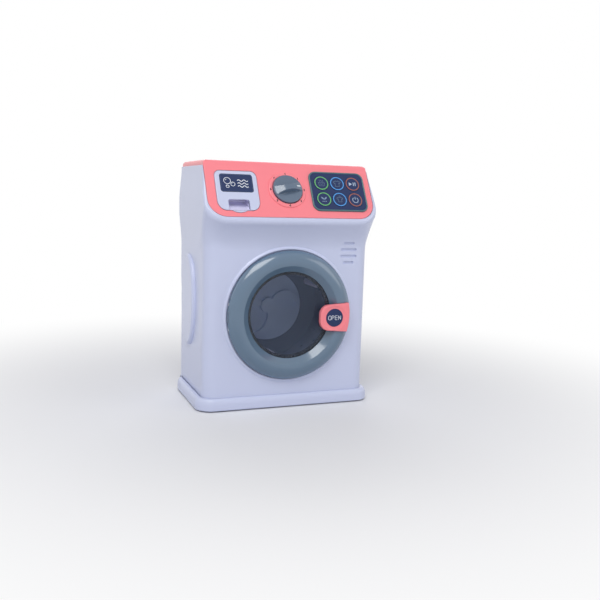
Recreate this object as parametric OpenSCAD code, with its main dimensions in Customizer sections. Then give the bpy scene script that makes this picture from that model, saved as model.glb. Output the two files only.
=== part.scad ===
// Toy front-loading washing machine, in millimetres.
// +Z is up, -Y is the front. The origin is on the floor, under the middle of the machine.

/* [Cabinet] */
// Overall height, from the floor to the top cover
total_h = 232; // [222:1:250]
// Width across the side walls of the cabinet
body_w = 165; // [160:1:180]
// Depth of the room behind the tub, for the drive and the batteries
rear_room = 25.3; // [24:0.1:40]
// Wall thickness of the cabinet
wall = 2.2; // [1.8:0.1:2.8]
// Radius of the two vertical front corners
corner_r = 13; // [8:1:18]
// How far the control lip stands out in front of the front face
lip_over = 13.5; // [12:0.5:15]
// Radius of the lip's nose
lip_r = 4.5; // [3.5:0.5:5.5]
// Width of the flat white band under the control panel
lip_flat = 1.5; // [1:0.5:3]
// Radius of the hollow sweep under the lip
flare_r = 16; // [14:1:18]
// How far the head swells out beside the controls, at each side
head_swell = 2.5; // [1.5:0.25:4]
// How far the head stands out at the top of the side walls, at each side
head_top_swell = 0.3; // [0:0.1:1]
// Thickness of the ledge that carries the control panel
ledge_t = 2; // [1.5:0.5:3]
// Width of the ledge under the panel's lower edge
ledge_w = 5; // [3:0.5:6]
// Height of the raised ovals on the side walls
oval_h = 90; // [70:2:110]
// Width of the raised ovals on the side walls
oval_w = 48; // [36:2:56]
// How far each side oval stands out
oval_out = 2.8; // [1.5:0.1:2.9]
// Width of the oval's bevelled edge
oval_bevel = 2.5; // [1:0.5:4]
// Height of the middle of the side ovals above the floor
oval_z = 98; // [80:2:120]
// Distance from the cabinet's back to the middle of the side ovals
oval_from_back = 37; // [30:1:45]
// Length of the two long vent slots
vent_long = 17; // [12:1:20]
// Length of the two short vent slots
vent_short = 11.3; // [8:0.1:12]
// Width of a vent slot
vent_w = 2.8; // [2:0.2:3.4]
// Distance between vent slots
vent_pitch = 6.2; // [5:0.1:8]
// Depth of a vent slot
vent_deep = 1.2; // [0.5:0.1:1.2]
// Distance from the cabinet's side to the middle of the vents
vent_from_side = 22.6; // [20:0.2:26]

/* [Plinth] */
// How far the plinth stands out at each side
plinth_side = 5.5; // [4:0.5:7]
// How far the plinth stands out at the front
plinth_front = 4.5; // [3:0.5:6]
// How far the plinth stands out at the back
plinth_back = 2; // [1.9:0.1:4]
// Height of the plinth's shoulder above the floor
plinth_h = 12.5; // [10:0.5:16]
// Thickness of the plinth's floor
plinth_floor = 3; // [2.4:0.2:4]
// Radius of the plinth's corners in plan
plinth_r = 15.5; // [12:0.5:20]
// Height of the rubber feet under the plinth
foot_h = 1.2; // [0.8:0.2:2]
// Radius of a rubber foot
foot_r = 8; // [6:0.5:10]

/* [Door] */
// Height of the door's middle above the floor
door_z = 89.5; // [87:0.5:92]
// Outer radius of the door ring
door_r = 61.4; // [60:0.2:62]
// Radius of the ring's crown, measured across its section
door_dome_r = 13; // [12.5:0.5:14]
// Height of the ring's outer edge over the front face
door_edge = 4; // [3.6:0.2:4.4]
// Inner radius of the pale ring, where the bevel starts
bevel_r = 47.2; // [46.4:0.2:48]
// Height of the ring's inner edge over the front face
bevel_top = 8.8; // [8.4:0.2:9.2]
// Radius of the clear window where it shows
window_r = 41.5; // [40.5:0.5:42]
// Height of the bevel's foot over the front face
bevel_foot = 3.2; // [3:0.1:3.6]
// Thickness of the window
window_t = 1.6; // [1.2:0.2:2]
// How far the window bulges
window_bulge = 4; // [3:0.25:4.5]
// Clearance between the door and the front face
door_gap = 0.4; // [0.3:0.05:0.6]
// Radius of the round opening behind the door
mouth_r = 50.5; // [49.8:0.1:51]
// Width of the raised bezel round the door
bezel_w = 2.4; // [1.6:0.2:3]
// Height of the raised bezel
bezel_out = 1; // [0.6:0.1:1.2]
// Clearance between the door's rim and the bezel
bezel_gap = 0.8; // [0.6:0.1:1.2]
// Distance from the door's rim to the hinge axis
hinge_in = 1.8; // [1.6:0.1:2]
// Distance from the front face to the hinge axis
hinge_out = 2.6; // [2.6:0.05:2.8]
// Radius of the hinge pin
hinge_pin_r = 1; // [0.8:0.05:1.1]
// Length of the hinge pin
hinge_pin_len = 26; // [20:1:30]
// Radius of the hinge knuckle
knuckle_r = 2.2; // [2:0.05:2.25]
// Height of the middle knuckle
knuckle_h = 10; // [8:1:12]

/* [Latch] */
// Width of the latch tab
latch_w = 30.5; // [29:0.5:32]
// Height of the latch tab at its straight edge
latch_h = 28; // [26:0.5:30]
// Radius of the tab's two round corners
latch_corner_r = 8; // [5:0.5:10]
// Slope of the tab's two long edges
latch_fan = 4; // [0:0.5:5]
// Distance from the door's rim to the tab's straight edge
latch_in = 2.9; // [2.4:0.1:3.4]
// Height of the tab's front over the front face
latch_front = 11.6; // [11:0.2:12]
// Height of the tab's back over the front face
latch_back = 7.2; // [7:0.1:7.6]
// How far the tab travels when it is pressed
latch_travel = 1.5; // [1.2:0.1:1.5]
// Radius of the round badge on the tab
badge_r = 8.7; // [7:0.1:10]
// Thickness of the badge
badge_t = 0.9; // [0.8:0.1:1.4]
// How far the badge is set into the tab
badge_in = 0.6; // [0.3:0.1:0.7]
// Thickness of the hook
hook_t = 2.4; // [2:0.1:2.5]
// Height of the hook
hook_h = 5.2; // [4:0.2:6]
// How far the hook reaches behind the front face
hook_reach = 5.6; // [5:0.2:6.4]
// How far the hook's nose stands out
hook_nose = 1; // [0.6:0.1:1.1]
// Radius of the tab's two guide stems
stem_r = 2; // [1.6:0.1:2.2]
// Distance between the guide stems
stem_pitch = 17; // [16:0.5:18]

/* [Drum] */
// Outer radius of the drum
drum_r = 56; // [54:0.5:56.5]
// Length of the drum
drum_len = 58; // [52:1:58]
// Wall thickness of the drum
drum_wall = 1.6; // [1.2:0.2:2]
// Radius of the drum's round mouth
drum_mouth_r = 46; // [45.6:0.2:48]
// Clearance between the drum and the tub
drum_gap = 2.5; // [2:0.25:3]
// Wall thickness of the tub
tub_wall = 2; // [1.6:0.2:2.4]
// Distance from the front wall to the tub's front
tub_back = 2.5; // [2.5:0.1:3]
// Number of holes in each row round the drum
holes_round = 16; // [8:2:18]
// Number of rows of holes
hole_rows = 3; // [2:1:4]
// Radius of a drum hole
hole_r = 1.8; // [1.2:0.2:2.4]
// Height of the lifters inside the drum
lifter_h = 9; // [6:0.5:10]
// Width of a lifter's foot
lifter_w = 15; // [12:0.5:18]
// Radius of the swirl plate at the drum's back
swirl_r = 36; // [30:1:40]
// Thickness of the swirl plate
swirl_t = 2; // [1.5:0.5:3]
// Height of the swirl's petals
petal_h = 4; // [3:0.5:5]
// Inner radius of the mouth ring
ring_r = 44; // [43:0.2:45]
// Radius of the drum's shaft
shaft_r = 2.5; // [2:0.1:3]
// Radius of the tub's bearing bush
bush_r = 5; // [4.6:0.1:6]

/* [Drive] */
// Groove radius of the drum's pulley
pulley_r = 24; // [20:0.5:25]
// Groove radius of the motor's pulley
motor_pulley_r = 5; // [4:0.5:6]
// Depth of a pulley's groove
groove = 2; // [1.9:0.1:2.5]
// Thickness of the belt
belt_t = 1.5; // [1:0.1:1.6]
// Width of the belt
belt_w = 2.2; // [1.6:0.1:2.6]
// Thickness of a pulley's rim on each side of the groove
pulley_rim = 1.2; // [1:0.1:1.5]
// Radius of the motor
motor_r = 10; // [8:0.5:11]
// Length of the motor
motor_len = 28; // [22:1:32]
// Distance from the machine's middle to the motor's axis
motor_x = 48; // [46:1:52]
// Height of the motor's axis above the plinth's floor
motor_up = 26; // [24:0.5:28]
// Radius of the motor's shaft
motor_shaft_r = 1; // [0.8:0.1:1.2]
// Thickness of the motor's bracket
bracket_t = 1.5; // [1.2:0.1:2]

/* [Controls] */
// Length of the sloping control panel
panel_len = 57.4; // [55:0.2:60]
// Lean of the control panel from the vertical
panel_tilt = 29.3; // [27:0.1:31]
// Width of the white band at each side of the coloured panel
side_band = 3.4; // [2.9:0.1:4.4]
// Thickness of the coloured panel
fascia_t = 2.5; // [2:0.1:2.8]
// Radius of the panel's two lower corners
fascia_corner_r = 17; // [12:0.5:20]
// Height of the top cover's edge
cover_edge = 5; // [4:0.5:6]
// Radius of the top cover's long edges
cover_round = 3.5; // [2.5:0.5:3.5]
// Width of the top cover's skirt
skirt_w = 3; // [2.4:0.2:4]
// Sideways place of the dial
dial_x = -4.5; // [-6:0.5:-3]
// Distance of the dial up the panel
dial_s = 28.3; // [27:0.1:30]
// Outer radius of the raised ring round the dial
dial_ring_r = 18.6; // [18:0.2:19]
// Height of the raised ring
dial_ring_h = 1.2; // [0.8:0.1:1.6]
// Radius of the dial
dial_r = 14.3; // [13:0.1:15]
// Height of the dial's skirt
dial_skirt = 2.8; // [2.6:0.2:4]
// Height of the dial's grip in its middle
dial_grip_h = 7; // [6:0.5:9]
// Width of the dial's grip in its middle
dial_grip_w = 4.6; // [4:0.2:6]
// Width of the dial's grip at its ends
dial_grip_end_w = 9; // [7:0.5:10]
// Angle at which the dial's grip rests
dial_rest = 11; // [0:1:45]
// Radius of the dial's spindle
spindle_r = 3; // [2.4:0.1:3.4]
// Width of the key panel
keypad_w = 56.7; // [55.6:0.1:57.6]
// Height of the key panel
keypad_h = 41.5; // [40:0.5:42.5]
// Radius of the key panel's corners
keypad_r = 7; // [5:0.5:8]
// Distance from the panel's side to the key panel
keypad_from_side = 6.2; // [5.4:0.2:7]
// Distance of the key panel's middle up the panel
keypad_s = 27.8; // [27:0.1:29]
// Width of the key panel's frame
keypad_rim = 1.4; // [1:0.1:1.5]
// Height of the key panel's frame
keypad_rim_h = 1.5; // [1.3:0.1:2]
// Thickness of the key plate
keyplate_t = 1; // [0.8:0.1:1.2]
// Sideways distance between keys
key_pitch_x = 16.2; // [15.6:0.1:16.4]
// Up and down distance between keys
key_pitch_s = 17; // [16:0.1:17.4]
// Radius of a key
key_r = 7.2; // [6.4:0.1:7.3]
// How far a key stands out of its plate
key_out = 0.3; // [0.2:0.1:1]
// How far a key travels
key_travel = 0.8; // [0.5:0.1:1]
// Thickness of the circuit board
board_t = 1.5; // [1:0.1:1.6]
// Depth of the circuit board under the panel
board_deep = 8; // [7.6:0.1:9]

/* [Drawer] */
// Width of the drawer's front
drawer_w = 39.8; // [38:0.2:40.4]
// Length of the drawer's front along the panel
drawer_len = 40.3; // [38:0.1:41]
// Distance from the panel's side to the drawer's front
drawer_from_side = 8.8; // [8:0.2:10]
// Distance of the drawer front's foot up the panel
drawer_s = 6.2; // [6:0.1:7]
// How far the drawer's front stands out of the panel
drawer_out = 0.6; // [0:0.1:1]
// Thickness of the drawer's walls
drawer_wall = 1.5; // [1.2:0.1:1.8]
// Length of the tray that stays in its guide when the drawer is pulled out
tray_hold = 6; // [4:1:12]
// How far the drawer pulls out
drawer_travel = 42; // [30:1:45]
// Width of the finger notch
notch_w = 20; // [17:0.2:21]
// Height of the finger notch along the panel
notch_len = 11; // [9:0.1:12]
// Depth of the finger notch
notch_deep = 9; // [7:0.5:11]
// Width of the label plate on the drawer
label_w = 31.2; // [28:0.2:33]
// Height of the label plate on the drawer
label_len = 18.5; // [14:0.5:19]
// Distance of the label plate from the drawer front's top edge
label_down = 3.6; // [2.4:0.2:4]
// Radius of the label plate's corners
label_r = 2.4; // [1:0.2:3.4]
// Radius of the half-moon lip under the finger notch
thumb_r = 15; // [12:0.5:18]
// How far the half-moon lip reaches below the drawer's front
thumb_out = 1.9; // [1.5:0.1:2.6]

/* [Power] */
// Radius of a battery cell
cell_r = 7.25; // [6.8:0.05:7.25]
// Length of a battery cell
cell_len = 50.5; // [44:0.5:50.5]
// Thickness of the rear cover
rear_t = 2.6; // [2.4:0.1:3]
// Distance from the side wall to the middle of the battery box
battery_from_side = 39.3; // [38.3:0.1:42]
// Height of the battery bay above the plinth's shoulder
battery_up = 2; // [1.8:0.2:4]
// Radius of the loudspeaker
speaker_r = 20; // [16:0.5:22]
// Depth of the loudspeaker's basket
speaker_deep = 4; // [3:0.5:6]
// Sideways place of the loudspeaker
speaker_x = 38; // [30:1:42]
// Height of the loudspeaker above the floor
speaker_z = 168; // [155:1:175]

/* [Hidden] */
$fn = 96;

shell_color = [0.90, 0.91, 0.94];
coral_color = [0.97, 0.50, 0.48];
slate_color = [0.40, 0.47, 0.52];
dark_color = [0.16, 0.18, 0.21];
navy_color = [0.16, 0.22, 0.34];
teal_color = [0.34, 0.52, 0.54];
steel_color = [0.72, 0.73, 0.75];
lilac_color = [0.78, 0.78, 0.90];

// Clearances
slide_gap = 0.35;      // round pieces that slide or swing
part_gap = 0.3;        // between fixed pieces that lie side by side
shaft_gap = 0.05;      // a shaft in its bore
seat_gap = 0.02;       // a pin that is pressed in
over = 1;              // how far a cut runs past a face
tangent_overlap = 0.3; // how far a round runs into the straight beside it
reach = 300;           // longer than anything here

// Tub and drum, measured along the door's axis from the front face: + is to the front
tub_p = -wall - tub_back;
tub_r = drum_r + drum_gap + tub_wall;
drum_p = tub_p - tub_wall - drum_gap;
drum_back_p = drum_p - drum_len;
tub_back_p = drum_back_p - drum_gap - tub_wall;

// Overall places
body_d = rear_room - tub_back_p;
front_y = -(lip_over + body_d + plinth_back) / 2 + lip_over;
back_y = front_y + body_d;
shell_z = foot_h + plinth_floor;
wall_top = total_h - cover_edge;
inner_half = body_w / 2 - wall;
head_w = body_w + 2 * head_swell;
head_top_w = body_w + 2 * head_top_swell;
fascia_w = head_w - 2 * side_band;
rear_y = back_y - rear_t;

// The control panel's plane, its foot and the lip under it
tilt_sin = sin(panel_tilt);
tilt_cos = cos(panel_tilt);
nose_y = front_y - lip_over + lip_r;
panel_z = total_h - panel_len * tilt_cos;
nose_z = panel_z - lip_flat * tilt_cos - lip_r * tilt_sin;
panel_y = nose_y - lip_r * tilt_cos + lip_flat * tilt_sin;
flare_y = front_y - flare_r;
flare_z = nose_z - sqrt(pow(flare_r + lip_r, 2) - pow(nose_y - flare_y, 2));
flare_dir = [nose_y - flare_y, nose_z - flare_z] / (flare_r + lip_r);
lip_s = -lip_flat - lip_r;
lip_corner_r = fascia_corner_r + ledge_w;
fascia_half = fascia_w / 2;

function panel_y_at(z, deep = 0) = panel_y + (z - panel_z) * tilt_sin / tilt_cos + deep / tilt_cos;
function panel_z_at(s) = panel_z + s * tilt_cos;

// Screws and their bosses
screw_head_r = 2.8;
screw_head_h = 1.4;
screw_r = 1.3;
small_head_r = 1.9;
small_head_h = 0.8;
small_r = 0.8;
boss_r = 3.2;
boss_len = 16;
boss_from_end = 14;
rear_screw_len = 12;
base_screw_len = 13;
board_screw_len = 5;

// Drum and drive
lifter_end = 4;
hub_r = bush_r + 3;
hub_len = 4;
hub_p = tub_back_p - hub_len;
pulley_w = belt_w + 0.4 + 2 * pulley_rim;
pulley_p = hub_p - 0.6;
ear_r = tub_r + 5.5;
ear_boss = 3.5;
motor_z = shell_z + motor_up;
motor_dist = norm([motor_x, door_z - motor_z]);
motor_p = tub_back_p - 1;
motor_shaft_in = 8;
bracket_side = 2;
bracket_foot = 12;
bracket_hole_r = motor_shaft_r + 1.5;
belt_in = 0.3;

// Door parts
arm_t = 2;
rim_bevel = 1.2;
dome_chord = [door_r - bevel_r, door_edge - bevel_top];
dome_drop = sqrt(pow(door_dome_r, 2) - pow(norm(dome_chord) / 2, 2));
dome_c = [(door_r + bevel_r) / 2, (door_edge + bevel_top) / 2]
    - dome_drop * [-dome_chord[1], dome_chord[0]] / norm(dome_chord);
hinge_x = -(door_r - hinge_in);
pocket_h = knuckle_h + 0.6;
window_flange = 3;
window_seat = 2.4;
window_lip = 0.8;
liner_t = 1;
liner_w = 7.5;
liner_in = 2.8;
liner_lip = 1.4;
liner_screw_r = 47;
cap_r = (pow(window_r, 2) + pow(window_bulge, 2)) / (2 * window_bulge);
latch_x = door_r - latch_in;
latch_z = -2.5;
latch_floor = latch_back - latch_travel - 0.2;
hook_x = door_r - 6.4;
stem_x = latch_x - 6.5;
stem_len = 3.7;
spring_out = 2.2;       // of the spring round its stem
spring_play = 0.6;
spring_r = stem_r + spring_out;
door_screw_in = 0.5;
door_screw_head = 0.4;
door_screw_len = 3.2;
spring_deep = 2.4;
badge_x = latch_x - 15.7;
slot_side = 1;
hook_room = hook_reach + latch_travel + slot_side;
keeper_deep = 5;
keeper_t = 4;
keeper_hole_r = 0.8;
keeper_hole_in = 2.6;
keeper_hole_up = 2;

// Drawer parts
drawer_x = -(fascia_half - drawer_from_side - drawer_w / 2);
drawer_z = panel_z_at(drawer_s);
drawer_h = drawer_len * tilt_cos;
drawer_top_r = 5.2;
drawer_low_r = 8;
drawer_t = 2.4;
tray_side = 2.4;
tray_len = drawer_travel + tray_hold;
tray_half = drawer_w / 2 - tray_side;
tray_z = drawer_z + tray_side;
tray_top = drawer_z + drawer_h - tray_side - drawer_top_r;
tray_end = panel_y_at(drawer_z + drawer_h) + tray_len;
guide_h = 18;
guide_half = tray_half + slide_gap;
guide_end = 2;
cup_half = notch_w / 2 + drawer_wall + slide_gap;
notch_h = notch_len * tilt_cos;
cup_back = panel_y_at(drawer_z + notch_h, drawer_t) + notch_deep + drawer_wall;
label_s = drawer_s + drawer_len - label_down - label_len / 2;
label_t = 0.4;
thumb_t = 1.6;
thumb_z = drawer_z + thumb_r - thumb_out;

// Keys
keypad_x = fascia_half - keypad_from_side - keypad_w / 2;
key_hole = key_r + 0.3;
key_flange_r = key_r + 0.7;
key_flange_t = 1.6;
key_stem_r = 2;
key_stem = 2.2;
switch_w = 6;
keypad_hole_w = 2 * key_pitch_x + 2 * key_flange_r + 0.6;
keypad_hole_h = key_pitch_s + 2 * key_flange_r + 0.6;
post_s = 16;
post_r = 2.4;
post_x = keypad_hole_w / 2 + post_r + 0.1;
board_w = 2 * post_x + 2 * post_r;
board_h = 2 * (post_s + post_r) + 3.2;
chip_w = 14;
chip_t = 2;
encoder_w = 16;
encoder_t = 7;
encoder_floor = 1.7;
spindle_cap = 0.8;      // of the dial's skirt over its spindle
grip_half = dial_r - 0.8;
grip_rise = dial_grip_h - dial_skirt - 0.3;
grip_dome_r = (pow(grip_half, 2) + pow(grip_rise, 2)) / 2 / grip_rise;
grip_waist = (dial_grip_end_w - dial_grip_w) / 2;
grip_waist_r = (pow(dial_r, 2) + pow(grip_waist, 2)) / 2 / grip_waist;
pointer_at = 10.3;
pointer_len = 4;
pointer_w = 1.3;
pointer_t = 0.4;

// Batteries
battery_x = -inner_half + battery_from_side;
cell_pitch = 2 * cell_r + 0.7;
cells = 3;
box_wall = 1.8;
contact_t = 1.2;
bay_w = cell_len + 2 * contact_t + 0.6;
bay_h = cells * cell_pitch + 0.5;
bay_deep = 2 * cell_r + 0.4;
bay_z = plinth_h + battery_up;
cover_over = 1.3;
cover_t = rear_t - 0.2;
cover_pin_r = 0.7;
cover_pin = 2;
cover_z = bay_z - cover_over + cover_t / 2;
cover_y = back_y - cover_t / 2;
cover_top = bay_z + bay_h + 8;
cover_screw_z = cover_top - 4;
cover_hole = bay_w + 2 * (cover_over + slide_gap);
box_flange = 2.5;
flange_t = 1.5;

// A flat shape in X and Z, drawn out along Y
module along_y(y0, y1) translate([0, y1, 0]) rotate([90, 0, 0]) linear_extrude(y1 - y0) children();

// A flat shape in Y and Z, drawn out across the machine
module along_x(w, x = 0) translate([x, 0, 0]) rotate([90, 0, 90])
    linear_extrude(w, center = true) children();

// The door's frame: X, height over its middle, distance in front of the front face
module at_door() translate([0, front_y, door_z]) rotate([90, 0, 0]) children();

// The panel's frame: X, distance up the panel, distance out of it
module on_panel() translate([0, panel_y, panel_z]) rotate([90 - panel_tilt, 0, 0]) children();

// Everything deeper than a depth under the panel
module under_panel(deep) on_panel() translate([-reach, -reach, -reach - deep])
    cube([2 * reach, 2 * reach, reach]);

// A strip whose two corners at the low end are round
module soft_front(half, lo, hi, r) {
    translate([-half, lo + r]) square([2 * half, hi - lo - r]);
    translate([-half + r, lo]) square([2 * (half - r), hi - lo]);
    for (side = [-1, 1]) translate([side * (half - r), lo + r]) circle(r);
}

// A rectangle about its middle with round corners
module round_rect(w, h, r) {
    square([w, h - 2 * r], center = true);
    square([w - 2 * r, h], center = true);
    for (x = [-1, 1], y = [-1, 1]) translate([x * (w / 2 - r), y * (h / 2 - r)]) circle(r);
}

// A slot with round ends
module slot(len, w) {
    square([len - w, w], center = true);
    for (side = [-1, 1]) translate([side * (len - w) / 2, 0]) circle(w / 2);
}

// A ring of a given height
module ring(outer, inner, h) linear_extrude(h) difference() {
    circle(outer);
    circle(inner);
}

// A screw: its head stands on the zero plane and its shank goes down
module screw(head_r, head_h, shank_r, len) difference() {
    union() {
        cylinder(r = head_r, h = head_h);
        translate([0, 0, -len]) cylinder(r = shank_r, h = len + over / 2);
    }
    for (turn = [0, 90]) rotate(turn) translate([0, 0, head_h])
        cube([head_r * 1.3, head_r * 0.3, head_h], center = true);
}

// The cabinet's outline from the side, with a wall's inset
module side_profile(inset, y_end, z0, z1) {
    nose_in = lip_r - inset;
    foot = [nose_y - nose_in * tilt_cos, nose_z + nose_in * tilt_sin];
    difference() {
        union() {
            polygon([[y_end, z0], [front_y + inset, z0], [front_y + inset, flare_z],
                [flare_y, flare_z] + (flare_r + inset + tangent_overlap) * flare_dir, foot,
                [foot[0] + (z1 - foot[1]) * tilt_sin / tilt_cos, z1], [y_end, z1]]);
            translate([nose_y, nose_z]) circle(nose_in);
        }
        translate([flare_y, flare_z]) circle(flare_r + inset);
    }
}

// The head seen from the front
module head_front() polygon([[-body_w / 2, flare_z], [body_w / 2, flare_z], [head_w / 2, panel_z + 2],
    [head_w / 2, panel_z + 16], [head_top_w / 2, wall_top], [-head_top_w / 2, wall_top],
    [-head_w / 2, panel_z + 16], [-head_w / 2, panel_z + 2]]);

module cabinet_outside() intersection() {
    along_x(head_w) side_profile(0, back_y, shell_z, wall_top);
    union() {
        translate([0, 0, shell_z]) linear_extrude(wall_top - shell_z)
            soft_front(body_w / 2, front_y, back_y, corner_r);
        intersection() {
            on_panel() translate([0, 0, -reach]) linear_extrude(reach + over)
                soft_front(head_w / 2, lip_s, reach, lip_corner_r);
            along_y(front_y - lip_over, back_y) head_front();
        }
    }
}

// The cabinet's hollow: behind the front wall, and forward into the lip
module cabinet_inside() {
    intersection() {
        translate([0, 0, shell_z - over]) linear_extrude(total_h)
            soft_front(inner_half, front_y + wall, back_y + over, corner_r - wall);
        along_x(head_w) side_profile(wall, back_y + 2 * over, shell_z - 2 * over, total_h + over);
        under_panel(fascia_t + ledge_t);
    }
    intersection() {
        on_panel() translate([0, 0, -reach]) linear_extrude(reach - fascia_t - ledge_t)
            soft_front(inner_half - wall, lip_s + wall, 1.5 * panel_len, lip_corner_r - wall);
        along_x(head_w) side_profile(wall, front_y + 3 * corner_r, flare_z + over, wall_top + 2 * over);
    }
}

function oval(w, h) = [for (turn = [0:360 / $fn:359]) [w / 2 * cos(turn), h / 2 * sin(turn)]];

module side_ovals() for (side = [0, 1]) mirror([side, 0, 0])
    translate([body_w / 2, back_y - oval_from_back, oval_z]) rotate([90, 0, 90]) {
        translate([0, 0, -wall / 2]) linear_extrude(wall / 2 + oval_out * 0.6)
            polygon(oval(oval_w, oval_h));
        linear_extrude(oval_out) polygon(oval(oval_w - 2 * oval_bevel, oval_h - 2 * oval_bevel));
    }

// Places of the screws
tub_ears = [for (x = [-1, 1], z = [-1, 1]) [x, z] * ear_r / sqrt(2)];
rear_boss_in = 0.8;
rear_boss_z = [shell_z + boss_from_end, (shell_z + wall_top) / 2, wall_top - boss_from_end];
rear_bosses = [for (x = [-1, 1], z = rear_boss_z) [x * (inner_half - boss_r - rear_boss_in), z]];
base_boss_in = 3;
base_rib = boss_r + base_boss_in + over;
base_bosses = [for (x = [-1, 1], y = [front_y + plinth_r + 2 * foot_r, back_y - plinth_r - 2 * foot_r])
    [x * (inner_half - boss_r - base_boss_in), y]];
vent_down = -0.6;
vents = [for (i = [0:3])
    [i == 0 || i == 3 ? vent_short : vent_long, flare_z - vent_down - (i + 0.5) * vent_pitch]];

module cabinet_shell() color(shell_color) difference() {
    union() {
        difference() {
            cabinet_outside();
            cabinet_inside();
        }
        side_ovals();
        // bezel round the door, left out beside the hinge
        at_door() difference() {
            translate([0, 0, -wall / 2])
                ring(door_r + bezel_gap + bezel_w, door_r + bezel_gap, wall / 2 + bezel_out);
            translate([-door_r - bezel_gap - bezel_w - over, -hinge_pin_len, 0])
                cube([3 * bezel_w + over, 2 * hinge_pin_len, 2 * bezel_out]);
        }
        // bosses for the tub, the rear cover and the plinth
        at_door() for (ear = tub_ears) translate([ear[0], ear[1], tub_p + seat_gap])
            cylinder(r = ear_boss, h = tub_back);
        for (boss = rear_bosses) {
            translate([boss[0], rear_y, boss[1]]) rotate([90, 0, 0]) cylinder(r = boss_r, h = boss_len);
            translate([boss[0] + (boss[0] < 0 ? -boss_r - wall : 0), rear_y - boss_len, boss[1] - wall / 2])
                cube([boss_r + wall, boss_len, wall]);
        }
        for (boss = base_bosses) {
            translate([boss[0], boss[1], shell_z]) cylinder(r = boss_r, h = boss_len);
            translate([boss[0] + (boss[0] < 0 ? -base_rib : 0), boss[1] - wall / 2, shell_z])
                cube([base_rib, wall, boss_len]);
        }
    }
    // round opening behind the door and the slot for its hook
    at_door() translate([0, 0, -wall - over]) cylinder(r = mouth_r, h = wall + 2 * over);
    at_door() translate([hook_x - slot_side, latch_z - hook_h / 2 - slot_side, -wall - over])
        cube([hook_t + hook_nose + 2 * slot_side, hook_h + 2 * slot_side, wall + 2 * over]);
    // window for the controls, and the bed of the coloured panel
    on_panel() translate([0, 0, -fascia_t - ledge_t - over]) linear_extrude(fascia_t + ledge_t + over)
        soft_front(fascia_half - ledge_w, ledge_w, reach, fascia_corner_r - ledge_w);
    on_panel() translate([0, 0, -fascia_t]) linear_extrude(reach)
        soft_front(fascia_half + 0.2, -0.2, reach, fascia_corner_r + 0.2);
    // vent slots
    for (vent = vents) translate([body_w / 2 - vent_from_side, 0, vent[1]])
        along_y(front_y - over, front_y + vent_deep) slot(vent[0], vent_w);
    // screw holes
    at_door() for (ear = tub_ears) translate([ear[0], ear[1], tub_p - over])
        cylinder(r = screw_r, h = tub_back + over);
    for (boss = rear_bosses) translate([boss[0], rear_y + over, boss[1]]) rotate([90, 0, 0])
        cylinder(r = screw_r, h = boss_len);
    for (boss = base_bosses) translate([boss[0], boss[1], shell_z - over])
        cylinder(r = screw_r, h = boss_len);
}

module plinth_slab(inset, z, h) for (x = [-1, 1], y = [front_y - plinth_front, back_y + plinth_back])
    translate([x * (body_w / 2 + plinth_side - plinth_r), y + (y < 0 ? plinth_r : -plinth_r), z])
        cylinder(r = plinth_r - inset, h = h, $fn = 48);

module base_plinth() color(shell_color) difference() {
    hull() {
        plinth_slab(1.2, foot_h, 0.1);
        plinth_slab(0, foot_h + 2.2, 4);
        plinth_slab(plinth_front - 2.4, plinth_h - 0.1, 0.1);
    }
    // the cabinet stands in the plinth
    translate([0, 0, shell_z]) linear_extrude(plinth_h)
        soft_front(body_w / 2 + part_gap, front_y - part_gap, back_y + part_gap, corner_r + part_gap);
    for (boss = base_bosses) translate([boss[0], boss[1], 0]) {
        cylinder(r = screw_r + 0.3, h = shell_z + over);
        cylinder(r = screw_head_r + 0.3, h = foot_h + screw_head_h);
    }
}

module foot_pads() color(dark_color)
    for (x = [-1, 1], y = [front_y + plinth_r, back_y - plinth_r])
        translate([x * (body_w / 2 - plinth_r), y, 0]) difference() {
            cylinder(r = foot_r, h = foot_h);
            translate([0, 0, -over]) cylinder(r = foot_r * 0.5, h = over + foot_h / 2);
        }

module base_screws() color(steel_color) for (boss = base_bosses)
    translate([boss[0], boss[1], foot_h + screw_head_h]) rotate([180, 0, 0])
        screw(screw_head_r, screw_head_h - 0.2, screw_r - seat_gap, base_screw_len);

// Rear cover, with the speaker's grille and the battery opening
module rear_cover() color(shell_color) difference() {
    union() {
        translate([-inner_half + part_gap, rear_y, shell_z])
            cube([2 * (inner_half - part_gap), rear_t, wall_top - part_gap - shell_z]);
        // lugs that hold the pins of the battery cover
        for (side = [-1, 1]) translate([battery_x + side * (cover_hole / 2 + cover_pin / 2),
            rear_y + rear_t / 2, cover_z]) cube([cover_pin + 0.5, rear_t, 3], center = true);
    }
    for (boss = rear_bosses) translate([boss[0], back_y + over, boss[1]]) rotate([90, 0, 0]) {
        cylinder(r = screw_r + 0.3, h = rear_t + 2 * over);
        cylinder(r = screw_head_r + 0.3, h = over + screw_head_h);
    }
    // grille
    translate([speaker_x, back_y + over, speaker_z]) rotate([90, 0, 0]) {
        cylinder(r = 1.1, h = rear_t + 2 * over);
        for (row = [1:3], turn = [0:6 * row - 1]) rotate(turn * 60 / row)
            translate([row * speaker_r * 0.25, 0, 0]) cylinder(r = 1.1, h = rear_t + 2 * over);
    }
    // battery opening
    translate([battery_x - cover_hole / 2, rear_y - over, cover_z])
        cube([cover_hole, rear_t + 2 * over, cover_top + slide_gap - cover_z]);
    translate([battery_x, cover_y, cover_z]) rotate([0, 90, 0])
        cylinder(r = cover_t / 2 + slide_gap, h = cover_hole, center = true);
    translate([battery_x - cover_hole / 2, cover_y, cover_z - cover_t / 2 - slide_gap])
        cube([cover_hole, rear_t, cover_t / 2 + 2 * slide_gap]);
    translate([battery_x, cover_y, cover_z]) rotate([0, 90, 0])
        cylinder(r = cover_pin_r + shaft_gap, h = cover_hole + 2 * cover_pin, center = true);
}

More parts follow.
